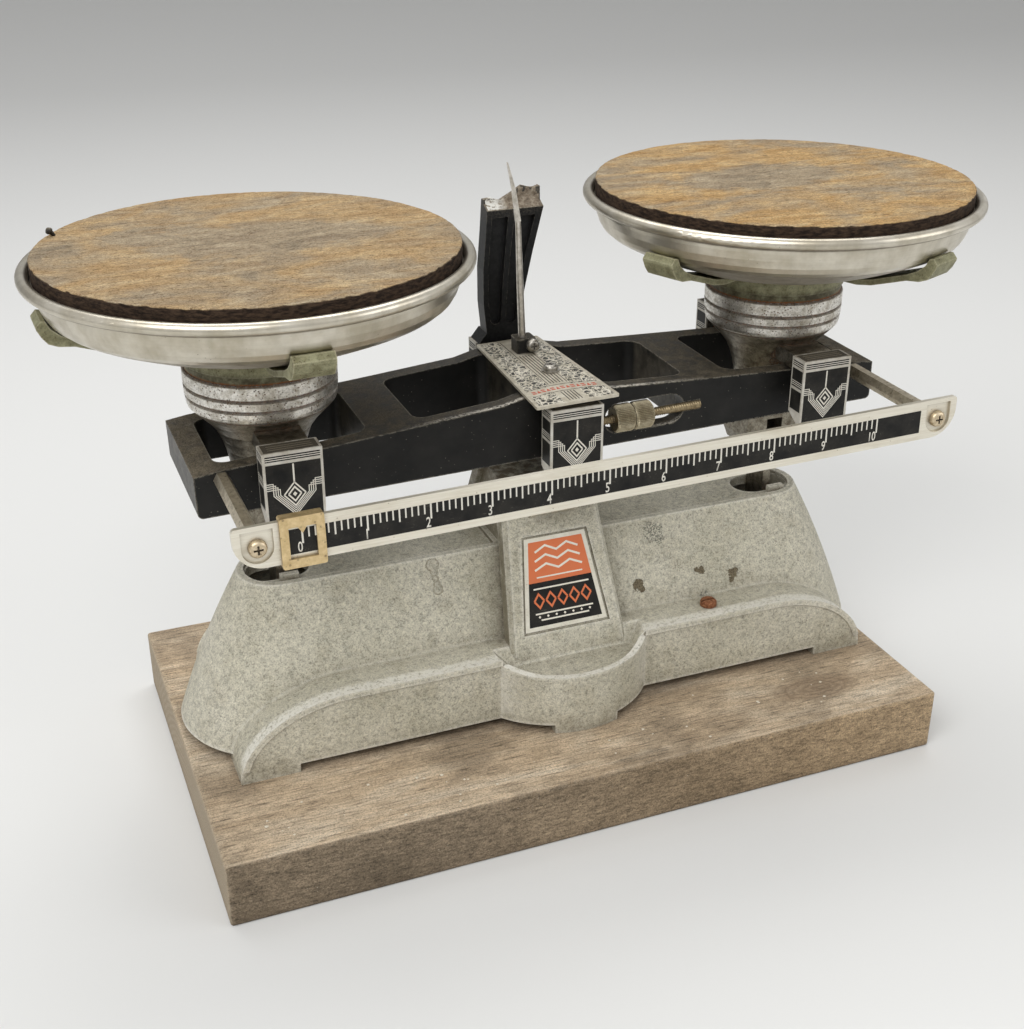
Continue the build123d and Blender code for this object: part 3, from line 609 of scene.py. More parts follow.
def mottled(name):
    """The crinkled black and cream print of the hub plate."""
    f = Finish(name, 0.5, specular=0.2)
    crumple = f.noise(1.7, 4, 0.75, 1.3)
    veins = f.cells(2.6, "DISTANCE_TO_EDGE")
    mask = f.math("ADD", f.span(crumple, 0.5, 0.55), f.span(veins, 0.09, 0.04), clamp=True)
    cream = f.mix(f.patch(0.35, 0.65, 6, 4), (196, 189, 170), (226, 220, 205))
    f.colour = f.mix(mask, (34, 33, 31), cream)
    return f.done(crumple, 0.03, 0.5, f.blend(mask, 0.4, 0.6))


def plate_metal(name, light, shade, dust):
    """Enamelled sheet with a satin border, dust on what faces up and brown painted shade in the corners."""
    f = Finish(name, 0.42, 0.2, 0.3)
    cloud = f.noise(5, 4, 0.65)
    fine = f.noise(0.6, 3, 0.65)
    f.colour = f.mix(f.span(cloud, 0.3, 0.7), light, shade)
    lying = f.times(f.upward(), f.patch(0.3, 0.65, 2.5, 4, 0.7))
    f.coat((122, 112, 96), lying, dust)
    spots = f.times(f.span(fine, 0.6, 0.7), f.span(cloud, 0.45, 0.6))
    f.coat((96, 82, 62), spots, 0.6)
    # Brown painted shade in the corners
    f.coat((80, 72, 58), f.crevice(1.6, 0.3, 0.95), 0.5)
    return f.done(fine, 0.02, 0.5, f.blend(fine, 0.34, 0.6))


def bar_metal():
    """Stainless bar, rubbed along its length, a little stained, with painted shade in its corners."""
    f = Finish("bar_metal", 0.34, 0.75)
    brushed = f.noise(0.35, 3, 0.6, vector=f.at((0.02, 1, 1)))
    cloud = f.noise(7, 4, 0.62, vector=f.at((0.35, 1, 1)))
    f.colour = f.mix(f.span(brushed, 0.3, 0.7), (222, 215, 198), (236, 231, 217))
    f.coat((190, 178, 152), f.span(cloud, 0.5, 0.72), 0.35)
    spots = f.times(f.math("LESS_THAN", f.cells(2.4), 0.1), f.span(cloud, 0.45, 0.6))
    f.coat((120, 98, 66), spots, 0.6)
    # Painted shade in the corners
    f.coat((120, 106, 82), f.crevice(1.8, 0.3, 0.95), 0.6)
    rough = f.blend(cloud, 0.26, 0.46)
    return f.done(brushed, 0.02, 0.5, rough)


def agate():
    f = Finish("agate", 0.16, specular=0.6)
    band = f.noise(1.6, 4, 0.5, 1.4, f.at((0.6, 0.6, 1.5)))
    f.colour = f.ramp(band, (0.3, (122, 78, 56)), (0.5, (180, 138, 108)), (0.7, (214, 188, 160)))
    return f.done(roughness=f.blend(band, 0.12, 0.25))


def floor_finish():
    """Plain pale table top; seen directly or in a reflection it is a little lighter."""
    f = Finish("pale_floor", 0.85, specular=0.15)
    paths = f.node("LightPath").outputs
    seen = f.most(paths["Is Camera Ray"], paths["Is Glossy Ray"], paths["Is Transmission Ray"])
    f.colour = f.mix(seen, (196, 196, 196), (226, 226, 224))
    return f.done()


# Geometry helpers: every mesh is built in rest coordinates of the whole balance

BEAM = (Matrix.Translation((0, 0, KNIFE_Z)) @ Matrix.Rotation(-TILT, 4, "Y")
        @ Matrix.Translation((0, 0, -KNIFE_Z)))
ROD_LINE = BEAM @ Matrix.Translation((0, ROD_Y, ROD_Z)) @ Matrix.Rotation(pi / 2, 4, "Y")
ROOT = Matrix.Identity(4)


def pan_place(side):
    s = SIDES[side]
    return Matrix.Translation((s * ARM - s * SHIFT, 0, s * LIFT))


def build(name, shape, place, finish, body, smooth=False):
    """Makes one piece out of a bmesh in millimetres and lets it ride on a body."""
    bmesh.ops.transform(shape, matrix=Matrix.Scale(MM, 4) @ place, verts=shape.verts)
    bmesh.ops.recalc_face_normals(shape, faces=shape.faces)
    mesh = bpy.data.meshes.new(name)
    shape.to_mesh(mesh)
    shape.free()
    mesh.materials.append(finish)
    if smooth:
        mesh.shade_smooth()
    piece = bpy.data.objects.new(name, mesh)
    bpy.context.collection.objects.link(piece)
    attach(piece, body)
    return piece


def plane(origin, right, up):
    """Matrix from drawing coordinates, u to the right, v up, height outwards."""
    right, up = Vector(right).normalized(), Vector(up).normalized()
    out = right.cross(up)
    m = Matrix((right, up, out)).transposed().to_4x4()
    return Matrix.Translation(origin) @ m


def skin(shape, rows, closed=True):
    """Faces between neighbouring rows of points, which may each close on themselves."""
    for one, two in zip(rows, rows[1:]):
        for k in range(len(one) if closed else len(one) - 1):
            j = (k + 1) % len(one)
            shape.faces.new((one[k], one[j], two[j], two[k]))


def artwork(name, polygons, where, height, ink, body):
    """Raises flat polygons, drawn in the plane, to a height in one ink."""
    shape = bmesh.new()
    for points in polygons:
        bottom, top = [[shape.verts.new((u, v, level)) for u, v in points] for level in (0, height)]
        shape.faces.new(bottom)
        shape.faces.new(top)
        skin(shape, (bottom, top))
    return build(name, shape, where, INKS[ink], body)


def rectangle(u0, u1, v0, v1):
    return [(u0, v0), (u1, v0), (u1, v1), (u0, v1)]


def ribbon(points, width):
    """A line of even width through points, as one polygon."""
    left, right = [], []
    last = len(points) - 1
    for k, (u, v) in enumerate(points):
        before = Vector(points[max(k - 1, 0)])
        after = Vector(points[min(k + 1, last)])
        here = Vector((u, v))
        one = (here - before).normalized() if k else (after - here).normalized()
        two = (after - here).normalized() if k < last else one
        mid = (one + two).normalized()
        side = Vector((-mid.y, mid.x))
        reach = width / 2 / max(side.dot(Vector((-one.y, one.x))), 0.35)
        left.append(tuple(here + side * reach))
        right.append(tuple(here - side * reach))
    return left + right[::-1]


def diamond(u, v, w, h, line):
    """An open diamond, as two bent lines."""
    upper = [(u - w, v), (u, v + h), (u + w, v)]
    lower = [(u - w, v), (u, v - h), (u + w, v)]
    return [ribbon(upper, line), ribbon(lower, line)]


def circles(shape, rings, turns, place=ROOT, ripple=None):
    """Rows of points round the local z axis, one for each (radius, height)."""
    rows = []
    for r, h in rings:
        row = []
        for k in range(turns):
            angle = 2 * pi * k / turns
            reach = ripple(r, h, angle) if ripple else r
            row.append(shape.verts.new(place @ Vector((reach * cos(angle), reach * sin(angle), h))))
        rows.append(row)
    return rows


def close_ends(shape, rows):
    skin(shape, rows)
    shape.faces.new(rows[0])
    shape.faces.new(rows[-1])


def smooth_by_angle(piece, degrees):
    piece.data.shade_smooth()
    with bpy.context.temp_override(object=piece, active_object=piece, selected_objects=[piece],
                                   selected_editable_objects=[piece]):
        bpy.ops.object.shade_smooth_by_angle(angle=radians(degrees))


# Bearing covers have a border of bare metal round dark panels with fine lines;
# a diamond with nested chevrons stands in the middle of each front.

def cover_front_art(low, high):
    """Dark panels, then light lines, of a cover face drawn from x -10.25 to 10.25."""
    w = COVER_X - 0.9
    dark = [rectangle(-w, w, high - 3.1, high - 1.1), rectangle(-w, w, low + 0.9, high - 4.2)]
    light = []
    for k in range(2):
        v = high - 1.75 - k * 0.75
        light.append(rectangle(-w, w, v - 0.13, v + 0.13))
    middle = (low + 0.9 + high - 4.2) / 2 - 0.6
    light += diamond(0, middle, 2.2, 2.6, 0.55)
    light += diamond(0, middle, 3.7, 4.3, 0.5)
    light.append([(0.75, middle), (0, middle + 0.9), (-0.75, middle), (0, middle - 0.9)])
    for k in range(4):
        drop = 5.2 + k * 0.85
        arm = 4.9 + k * 0.75
        ends = middle + 2.4 + k * 0.75
        line = [(-w, ends), (-arm, ends), (-arm, middle + 0.2), (0, middle - drop), (arm, middle + 0.2),
                (arm, ends), (w, ends)]
        light.append(ribbon(line, 0.3))
    light.append(rectangle(-0.28, 0.28, middle + 4.1, high - 4.6))
    return dark, light


def cover_side_art(depth, low, high):
    """Three dark panels with line groups on a side face that is depth wide."""
    w = depth / 2 - 0.7
    dark = [rectangle(-w, w, high - 3.1, high - 1.1), rectangle(-w, w, high - 11.4, high - 4.2),
            rectangle(-w, w, low + 1.2, high - 12.6)]
    light = []
    for k in range(2):
        v = high - 1.75 - k * 0.75
        light.append(rectangle(-w, w, v - 0.13, v + 0.13))
    for k in range(3):
        v = high - 9.1 - k * 0.75
        light.append(rectangle(-w, w, v - 0.12, v + 0.12))
    return dark, light


def dress_cover(node, body, top, low, place, s):
    """Prints the front, sides and top of one cover; s is -1 for a cover at the front."""
    front = plane((0, s * COVER_Y, 0), (-s, 0, 0), (0, 0, 1))
    depth = COVER_Y - COVER_BACK
    middle = s * (COVER_Y + COVER_BACK) / 2
    faces = [("front", front, cover_front_art(low, top))]
    for k, x in (("left", -COVER_X), ("right", COVER_X)):
        turn = 1 if x > 0 else -1
        where = plane((x, middle, 0), (0, turn, 0), (0, 0, 1))
        faces.append((k, where, cover_side_art(depth, low + 5, top)))
    panel = rectangle(-COVER_X + 0.9, COVER_X - 0.9, -depth / 2 + 0.7, depth / 2 - 0.7)
    lines = [rectangle(-COVER_X + 2.6, COVER_X - 2.6, v - 0.12, v + 0.12) for v in (-1.6, 0, 1.6)]
    faces.append(("top", plane((0, middle, top), (1, 0, 0), (0, 1, 0)), ([panel], lines)))
    for part, where, (dark, light) in faces:
        ink, line = ("ink_dusty", "line_dusty") if part == "top" else ("ink", "line")
        artwork(f"{node}_{part}_panels", dark, place @ where, INK, ink, body)
        artwork(f"{node}_{part}_lines", light, place @ where, LINE, line, body)


def label_art():
    """Orange over black with plain geometric figures inside a cream border."""
    normal = Vector((0, -1, LABEL_LEAN)).normalized()
    origin = Vector((0, LABEL_Y, LABEL_Z)) - normal * LABEL_SUNK
    where = plane(origin, (1, 0, 0), (0, LABEL_LEAN, 1))
    foot, head, tall = 17.1, 12.6, 17.8

    def half(v, inset):
        return foot - (foot - head) / (2 * tall) * (v + tall) - inset

    def strip(v0, v1, inset=1.7):
        w0, w1 = half(v0, inset), half(v1, inset)
        return [(-w0, v0), (w0, v0), (w1, v1), (-w1, v1)]
    middle = 0.6
    artwork("label_orange", [strip(middle, 16.2)], where, INK, "orange", "base")
    artwork("label_black", [strip(-16.2, middle)], where, INK, "ink", "base")
    cream = []
    for k in range(3):
        v = 13.4 - k * 3.5
        w = half(v, 4.2)
        wave = [(-w, v - 1.2), (-w * 0.5, v + 1.0), (0, v - 1.2), (w * 0.5, v + 1.0), (w, v - 1.2)]
        cream.append(ribbon(wave, 0.8))
    for w, low, high in ((9.5, 2.2, 2.75), (11.5, -2.1, -1.5), (12.0, -11.7, -11.1), (10.0, -14.2, -13.6)):
        cream.append(rectangle(-w, w, low, high))
    for u in [k * 3.5 for k in range(-3, 4)]:
        cream.append([(u - 0.55, -12.65), (u, -13.2), (u + 0.55, -12.65), (u, -12.1)])
    artwork("label_lines", cream, where, LINE, "cream", "base")
    orange = []
    for k in range(-2, 3):
        orange += diamond(k * 4.9, -6.5, 2.0, 2.7, 0.75)
    artwork("label_figures", orange, where, LINE, "orange", "base")


def plate_art():
    """Hub plate: mottled panels, a lined middle strip and a curved band with red figures."""
    where = BEAM @ plane((0.6, 0, PLATE_TOP), (1, 0, 0), (0, 1, 0))
    low, high = -30.2, -25.0

    def half(v):
        return 16 - 3.2 * (v + 42.1) / 69.4 - 1.3

    def band(u, v):
        return v - 2.2 * (u / 14) ** 2

    def panel(s, inner, edge, far):
        """One side panel between the band's edge and a far straight end."""
        us = [inner + (half(edge) - inner) * k / 6 for k in range(7)]
        return [(s * u, band(u, edge)) for u in us] + [(s * half(far), far), (s * inner, far)]
    panels = [panel(s, 4.4, high, 25.9) for s in (-1, 1)] + [panel(s, 5.0, low, -40.7) for s in (-1, 1)]
    artwork("plate_mottle", panels, where, INK, "mottle", "beam")
    lines = []
    for k in range(5):
        u = -2.4 + k * 1.2
        lines.append(rectangle(u - 0.17, u + 0.17, -22.6, 8.0))
        lines.append(rectangle(u - 0.17, u + 0.17, -40.0, -31.6))
    for u in (-3.7, 3.7):
        lines.append(rectangle(u - 0.12, u + 0.12, -23.2, 25.0))
    for edge in (low - 0.5, high + 0.5):
        us = [-13.5 + 27 * k / 14 for k in range(15)]
        lines.append(ribbon([(u, band(u, edge)) for u in us], 0.25))
    artwork("plate_lines", lines, where, PLATE_LINE, "ink", "beam")
    red = []
    for k in range(-6, 7):
        u = k * 1.95
        v = band(u, (low + high) / 2)
        if k % 2:
            red.append([(u - 0.75, v - 1.1), (u + 0.75, v - 1.1), (u, v + 1.2)])
        else:
            red += [rectangle(u - 0.75, u + 0.75, low_v, low_v + 0.75) for low_v in (v + 0.35, v - 1.1)]
    artwork("plate_figures", red, where, LINE, "red", "beam")


def numeral(text, height, narrow):
    """Outline of a number as a flat mesh, its right edge and its foot at zero."""
    curve = bpy.data.curves.new("numeral", "FONT")
    curve.body = text
    curve.resolution_u = 4
    curve.offset = 0.012
    holder = bpy.data.objects.new("numeral", curve)
    bpy.context.collection.objects.link(holder)
    bpy.context.view_layer.update()
    mesh = bpy.data.meshes.new_from_object(holder)
    shape = bmesh.new()
    shape.from_mesh(mesh)
    foot = min(v.co.y for v in shape.verts)
    scale = height / (max(v.co.y for v in shape.verts) - foot)
    edge = max(v.co.x for v in shape.verts)
    for v in shape.verts:
        v.co.x = (v.co.x - edge) * scale * narrow
        v.co.y = (v.co.y - foot) * scale
    bpy.data.objects.remove(holder)
    bpy.data.meshes.remove(mesh)
    bpy.data.curves.remove(curve)
    return shape


def bar_art():
    """Black field, ticks in tenths and the numbers 0 to 10 along the graduated bar."""
    where = BEAM @ plane((0, -BAR_FRONT, 0), (1, 0, 0), (0, 0, 1))
    field_shape = rectangle(ZERO_X - 5.6, ZERO_X + 10 * UNIT + 18.6, FIELD_LOW, FIELD_HIGH)
    artwork("bar_field", [field_shape], where, INK, "ink", "beam")
    ticks = []
    for k in range(101):
        x = ZERO_X + k * UNIT / 10
        length, width = (5.3, 0.6) if k % 10 == 0 else (4.4, 0.54) if k % 5 == 0 else (3.4, 0.5)
        ticks.append(rectangle(x - width / 2, x + width / 2, FIELD_HIGH - length, FIELD_HIGH))
    artwork("bar_ticks", ticks, where, LINE, "line", "beam")
    joined = bmesh.new()
    for k in range(11):
        shape = numeral(str(k), 3.6, 0.66)
        bmesh.ops.translate(shape, verts=shape.verts, vec=(ZERO_X + k * UNIT - 0.2, FIELD_LOW + 0.4, 0))
        flat = bpy.data.meshes.new("flat")
        shape.to_mesh(flat)
        shape.free()
        joined.from_mesh(flat)
        bpy.data.meshes.remove(flat)
    faces = bmesh.ops.extrude_face_region(joined, geom=joined.faces[:])["geom"]
    moved = [g for g in faces if isinstance(g, bmesh.types.BMVert)]
    bmesh.ops.translate(joined, verts=moved, vec=(0, 0, NUMBER))
    build("bar_numbers", joined, where, INKS["line"], "beam")


def knurled_nut(name, node, x0, x1, finish):
    """Straight-knurled nut round the adjusting rod."""
    teeth, depth = 24, 0.42
    bore = ROD_R + 0.06
    lane = [(bore, x0), (NUT_FACE, x0), (NUT_R - 0.25, x0 + 0.5), (NUT_R, x0 + 0.8), (NUT_R, x1 - 0.8),
            (NUT_R - 0.25, x1 - 0.5), (NUT_FACE, x1), (bore, x1)]

    def knurl(r, h, angle):
        return r if r <= NUT_FACE else r - depth * abs((angle * teeth * 2 / pi) % 2 - 1)
    shape = bmesh.new()
    rows = circles(shape, lane, teeth * 8, ripple=knurl)
    skin(shape, rows + rows[:1])
    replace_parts(build(name, shape, ROD_LINE, finish, node), node)


def screwed_rod(finish):
    """Adjusting rod with its thread."""
    pitch, depth, chamfer = 0.95, 0.3, 0.35
    start, end = 8.0, 57.2
    steps = int((end - start) / pitch * 6)
    rings = [(ROD_R, start + (end - start) * k / steps) for k in range(steps + 1)]
    rings[0] = (ROD_R - chamfer, start)
    rings[-1] = (ROD_R - chamfer, end)

    def thread(r, h, angle):
        turn = (h / pitch - angle / (2 * pi)) % 1
        return r - depth * abs(2 * turn - 1)
    shape = bmesh.new()
    close_ends(shape, circles(shape, rings, 24, ripple=thread))
    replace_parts(build("screwed_rod", shape, ROD_LINE, finish, "beam", smooth=True), "tare_rod")


def worn_disc(side, finish):
    """Wood disc with a slightly uneven face and a chipped, splintery rim."""
    s = SIDES[side]
    turns = 420
    radii = [4, 12, 22, 32, 42, 50, 57, 62, 66, 68.5, 70, 70.7]
    rings = [(r, DISC_TOP) for r in radii]
    rings += [(71.15, DISC_TOP - 0.12), (DISC_R, DISC_TOP - 0.6)]
    rings += [(DISC_R, DISC_TOP - 1.8 - k * 1.3) for k in range(4)]
    rings += [(DISC_R - 0.3, DISC_LOW + 0.15), (DISC_R - 0.9, DISC_LOW)]
    rings += [(60, DISC_LOW), (30, DISC_LOW), (4, DISC_LOW)]
    shape = bmesh.new()
    rows = []
    for r, z in rings:
        row = []
        for k in range(turns):
            a = 2 * pi * k / turns
            spot = Vector((cos(a) * 11 + s * 40, sin(a) * 11, z * 0.5))
            reach, height = r, z
            if r > 65 and z > DISC_LOW + 0.1:
                chips = field.fractal(spot * 2.2, 0.8, 2.1, 4)
                bite = max(0.0, chips - 0.3) * (0.9 if z > DISC_TOP - 0.7 else 0.3)
                reach = r - min(bite, 0.4) * (1 if r > 70 else 0.3) - 0.04 * abs(field.noise(spot * 9))
            if z > DISC_TOP - 0.3:
                flat = Vector((r * cos(a), r * sin(a), s * 9.0))
                height = z - 0.10 - 0.1 * field.noise(flat * 0.04) - 0.06 * max(0, field.noise(flat * 0.5))
                if r > 69:
                    height -= max(0.0, field.noise(spot * 3.1)) * 0.2
            row.append(shape.verts.new((reach * cos(a), reach * sin(a), height)))
        rows.append(row)
    close_ends(shape, rows)
    piece = build("worn_disc_" + side, shape, pan_place(side), finish, "disc_" + side)
    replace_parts(piece, "wood_disc_" + side)
    smooth_by_angle(piece, 40)


def crumbs(finish):
    """Small pale flakes lying on the board in front of the base."""
    dice = random.Random(7)
    shape = bmesh.new()
    for _ in range(46):
        x = dice.uniform(-128, 128)
        y = dice.uniform(-82, -52)
        size = dice.uniform(0.25, 0.75)
        flake = bmesh.ops.create_icosphere(shape, subdivisions=1, radius=size)["verts"]
        for v in flake:
            v.co.x *= dice.uniform(0.7, 1.4)
            v.co.z = max(v.co.z * 0.4, -0.02)
            v.co = Vector((v.co.x + x, v.co.y + y, v.co.z + BOARD_TOP))
    build("board_crumbs", shape, ROOT, finish, "base")


def nail(finish):
    """Bent black tack pushed into the rim of the left disc."""
    shape = bmesh.new()
    where = pan_place("left") @ Matrix.Translation((-59.9, 33.3, DISC_TOP - 0.3))
    lean = Matrix.Rotation(radians(-38), 4, "Y") @ Matrix.Rotation(radians(20), 4, "X")
    rings = [(0.45, -0.5), (0.6, 0.2), (0.75, 1.2), (0.8, 2.2), (1.2, 2.6), (1.25, 3.2), (0.8, 3.7),
             (0.3, 3.9)]

    def uneven(r, h, angle):
        return r * (1 + 0.12 * sin(3 * angle + h))
    close_ends(shape, circles(shape, rings, 14, lean, uneven))
    build("rim_tack", shape, where, finish, "disc_left", smooth=True)


def post_break(finish):
    """Torn metal standing proud of the break across the dial post."""
    across = [(-6.4, 206.6), (-2.5, 208.2), (1.5, 207.0), (6.5, 209.6), (10.5, 212.0), (14.5, 210.8),
              (18.4, 212.0)]
    through = [(32, 204.7), (36.2, 206.5), (38.0, 212.4), (39.0, 212.6)]

    def height(line, at):
        for (x0, z0), (x1, z1) in zip(line, line[1:]):
            if at <= x1:
                return z0 + (z1 - z0) * (at - x0) / (x1 - x0)
        return line[-1][1]
    shape = bmesh.new()
    count_x, count_y = 44, 18
    rows = []
    for i in range(count_x + 1):
        row = []
        for j in range(count_y + 1):
            u, v = i / count_x, j / count_y
            y = 32.3 + 6.4 * v
            z_guess = min(height(across, -6 + 24 * u), height(through, y))
            left = -6.2 + 1.2 * (z_guess - 196) / 18 + 0.35
            right = 17.6 + (z_guess - 205) / 9 - 0.45
            x = left + (right - left) * u
            z = min(height(across, x), height(through, y))
            on_rim = min(u, 1 - u, v, 1 - v) < 0.01
            rough = field.fractal(Vector((x * 0.55, y * 0.7, 3.0)), 0.7, 2.1, 5)
            lift = -0.25 if on_rim else max(0.28 + 0.55 * rough, -0.3)
            row.append(shape.verts.new((x, y, z + lift)))
        rows.append(row)
    skin(shape, rows, closed=False)
    border = rows[0] + [row[-1] for row in rows[1:]] + rows[-1][-2::-1] + [row[0] for row in rows[-2:0:-1]]
    under = [shape.verts.new((v.co.x, v.co.y, v.co.z - 0.6)) for v in border]
    skin(shape, (border, under))
    shape.faces.new(under)
    build("post_break", shape, ROOT, finish, "base", smooth=True)


def dress_nodes(nodes):
    """Gives every CAD node its finish, and returns those that other pieces share."""
    steel = plain_metal("steel", (196, 192, 183), (132, 127, 117), 0.32, 0.5)
    brass = plain_metal("aged_brass", (168, 152, 122), (112, 98, 72), 0.45, 0.85, speckle=0.5)
    knurl = plain_metal("knurled_brass", (206, 196, 168), (150, 137, 108), 0.36, 0.95)
    clip = plain_metal("rider_brass", (226, 204, 160), (196, 171, 126), 0.5, 0.6, (0.1, 1, 1), 0.45, 2.2)
    rod = plain_metal("dull_steel", (222, 213, 194), (178, 166, 143), 0.42, 0.5, (1, 0.08, 1), 0.5)
    heads = plain_metal("screw_steel", (222, 206, 178), (176, 158, 128), 0.4, 0.95, speckle=0.5, size=1.5)
    needle = plain_metal("pointer_steel", (222, 217, 208), (172, 165, 153), 0.34, 0.2, (1, 1, 0.08))
    link = plain_metal("link_steel", (150, 146, 138), (100, 94, 84), 0.45, 0.5, (0.1, 1, 1), 0.4)
    paint = black_paint()
    sheet = plate_metal("cover_sheet", (214, 211, 202), (184, 178, 165), 0.8)
    hub = plate_metal("hub_plate", (212, 206, 190), (184, 176, 157), 0.25)
    finishes = [
        (steel, "board_screws link_centre_pin centre_knife end_knives_left end_knives_right plate_screw "
                "clamp_screw spider_screw_left spider_screw_right link_pin_left link_pin_right"),
        (paint, "beam_casting pointer_block"), (brass, "tare_rod"), (knurl, "tare_nut tare_lock_nut"),
        (rod, "standoff_left standoff_right"), (heads, "bar_screws"), (clip, "rider"), (needle, "pointer"),
        (link, "check_link"), (hub, "top_plate"), (rust_finish(), "base_screw"), (post_paint(), "dial_post"),
        (board_wood(), "wood_board"), (base_paint(), "base_casting"), (bar_metal(), "graduated_bar"),
        (plate_metal("label_border", (232, 228, 214), (214, 208, 190), 0.0), "label_plate"),
        (agate(), "centre_bearing_front centre_bearing_back pan_bearing_front_left pan_bearing_back_left "
                  "pan_bearing_front_right pan_bearing_back_right"),
        (sheet, "centre_cover_front centre_cover_back side_cover_front_left side_cover_back_left "
                "side_cover_front_right side_cover_back_right"),
    ]
    discs = {"left": disc_wood("left", 1, ((4, 2, 30), (-30, 20, 14))),
             "right": disc_wood("right", 5, ((-6, 4, 26),))}
    for side in SIDES:
        finishes += [(zinc_metal(side), f"pan_support_{side} check_rod_{side}"),
                     (spider_paint(side), "pan_spider_" + side),
                     (pan_metal(side), "pan_dish_" + side), (discs[side], "wood_disc_" + side)]
    by_node = {name: finish for finish, names in finishes for name in names.split()}
    for name, node in nodes.items():
        for spot in node.material_slots:
            spot.material = by_node[name]
    return dict(discs, brass=brass, knurl=knurl, paint=paint)


def rust_finish():
    f = Finish("rusty_steel", 0.8, 0.2)
    scale = f.noise(0.9, 5, 0.7)
    f.colour = f.ramp(scale, (0.3, (84, 46, 26)), (0.5, (138, 86, 54)), (0.72, (176, 132, 96)))
    # Painted shade in the slot and corners
    f.coat((52, 32, 22), f.crevice(1.2, 0.3, 0.9), 0.7)
    return f.done(scale, 0.15, 0.8)


def fracture_finish():
    f = Finish("torn_metal", 0.8, 0.1)
    grain = f.noise(1.9, 5, 0.7)
    f.colour = f.ramp(grain, (0.3, (70, 58, 46)), (0.46, (112, 99, 83)),
                      (0.62, (146, 135, 118)), (0.75, (190, 182, 166)))
    pale = f.times(f.span(f.x, 0.0035, -0.001), f.patch(0.3, 0.5, 1.2, 4))
    f.coat((206, 204, 196), pale)
    return f.done(grain, 0.3, 0.8)


def set_camera():
    """The camera solved from the photograph."""
    yaw, pitch, roll = radians(21.71), radians(26.27), radians(-0.06)
    ahead = Vector((sin(yaw) * cos(pitch), cos(yaw) * cos(pitch), -sin(pitch)))
    right = Vector((cos(yaw), -sin(yaw), 0))
    up = right.cross(ahead)
    right, up = right * cos(roll) + up * sin(roll), up * cos(roll) - right * sin(roll)
    data = bpy.data.cameras.new("camera")
    data.sensor_fit = "VERTICAL"
    data.sensor_height = 36.0
    data.lens = 49.90
    data.clip_start = 0.01
    camera = bpy.data.objects.new("camera", data)
    bpy.context.collection.objects.link(camera)
    turn = Matrix((right, up, -ahead)).transposed().to_4x4()
    camera.matrix_world = Matrix.Translation((-0.19505, -0.46888, 0.3411)) @ turn
    bpy.context.scene.camera = camera


def set_light():
    """Soft studio light at a level where a colour renders about as written."""
    def lamp(name, place, size, power):
        data = bpy.data.lights.new(name, "AREA")
        data.shape = "RECTANGLE"
        data.size, data.size_y = size
        data.energy = power
        item = bpy.data.objects.new(name, data)
        bpy.context.collection.objects.link(item)
        item.location = place
        aim = Vector((0, 0, 0.13)) - Vector(place)
        item.rotation_euler = aim.to_track_quat("-Z", "Y").to_euler()
    lamp("key", (-0.75, -0.75, 1.15), (1.1, 0.8), 13)
    lamp("fill", (1.2, -0.9, 0.75), (1.0, 0.9), 5)
    lamp("top", (0.1, 0.55, 1.35), (1.4, 0.6), 9)
    world = bpy.data.worlds.new("studio")
    world.use_nodes = True
    tree = world.node_tree
    shade = tree.nodes["Background"]
    shade.inputs["Color"].default_value = (1, 1, 1, 1)
    paths = tree.nodes.new("ShaderNodeLightPath")
    both = tree.nodes.new("ShaderNodeMath")
    both.operation = "MAXIMUM"
    tree.links.new(paths.outputs["Is Camera Ray"], both.inputs[0])
    tree.links.new(paths.outputs["Is Glossy Ray"], both.inputs[1])
    level = tree.nodes.new("ShaderNodeMapRange")
    level.inputs["To Min"].default_value = 0.42
    level.inputs["To Max"].default_value = 0.72
    tree.links.new(both.outputs[0], level.inputs["Value"])
    tree.links.new(level.outputs["Result"], shade.inputs["Strength"])
    bpy.context.scene.world = world
    bpy.context.scene.view_settings.view_transform = "Standard"


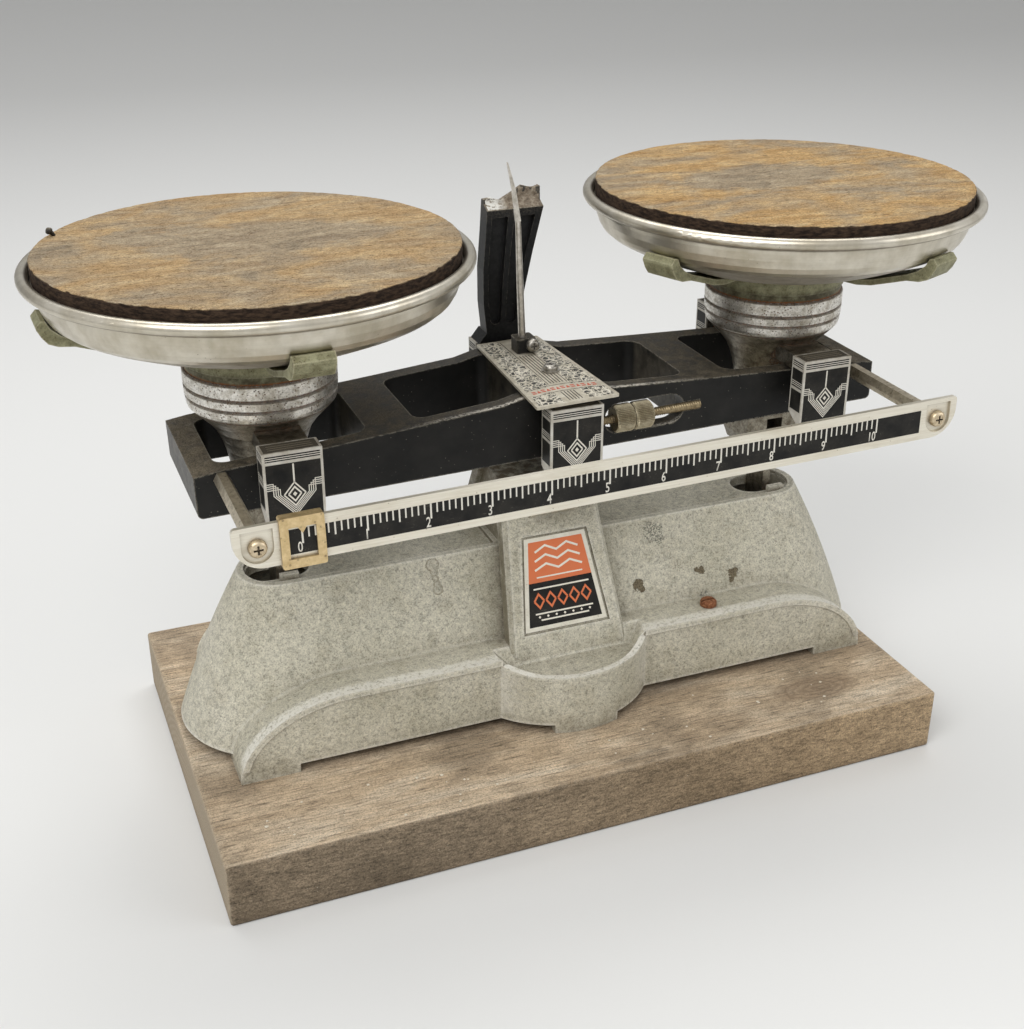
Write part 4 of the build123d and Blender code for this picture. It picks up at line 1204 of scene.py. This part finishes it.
def set_floor():
    """Plain pale table with a low rise far behind the balance."""
    shape = bmesh.new()
    rows = []
    for y, z in ((-2.2, 0), (1.6, 0), (2.4, 0.06), (3.0, 0.3), (3.4, 0.8), (3.5, 2.0)):
        rows.append([shape.verts.new((x, y, z)) for x in (-3.5, 3.5)])
    skin(shape, rows, closed=False)
    mesh = bpy.data.meshes.new("table_top")
    shape.to_mesh(mesh)
    shape.free()
    mesh.shade_smooth()
    mesh.materials.append(floor_finish())
    floor = bpy.data.objects.new("table_top", mesh)
    bpy.context.collection.objects.link(floor)


for item in list(bpy.data.objects):
    bpy.data.objects.remove(item)
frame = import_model()
set_camera()
set_light()
set_floor()
made = dress_nodes(frame["nodes"])
INKS = {
    "ink": printed("black_ink", (24, 24, 24), (110, 105, 95), 0.55),
    "line": printed("pale_line", (230, 226, 214), (160, 152, 136), 0.5),
    "ink_dusty": printed("dusty_ink", (70, 65, 56), (118, 108, 92), 0.7, 0.6),
    "line_dusty": printed("dusty_line", (140, 131, 114), (96, 88, 75), 0.6, 0.6),
    "orange": printed("orange_ink", (222, 122, 80), (204, 150, 112), 0.4),
    "cream": printed("cream_ink", (238, 233, 219), (204, 188, 166), 0.4),
    "red": printed("red_ink", (190, 84, 64), (170, 130, 108), 0.5),
    "mottle": mottled("mottled_print"),
}
for part, s in OUTWARDS.items():
    dress_cover("centre_cover_" + part, "base", COVER_TOPS[part], COVER_LOW, ROOT, s)
for side in SIDES:
    for part, s in OUTWARDS.items():
        dress_cover(f"side_cover_{part}_{side}", "pan_support_" + side, SIDE_COVER_TOP, SIDE_COVER_LOW,
                    pan_place(side), s)
    worn_disc(side, made[side])
label_art()
plate_art()
bar_art()
knurled_nut("knurled_nut", "tare_nut", 21.0, 28.5, made["knurl"])
knurled_nut("knurled_lock_nut", "tare_lock_nut", 28.8, 36.2, made["knurl"])
screwed_rod(made["brass"])
post_break(fracture_finish())
nail(made["paint"])
crumbs(printed("pale_crumb", (226, 218, 200), (180, 166, 140)))
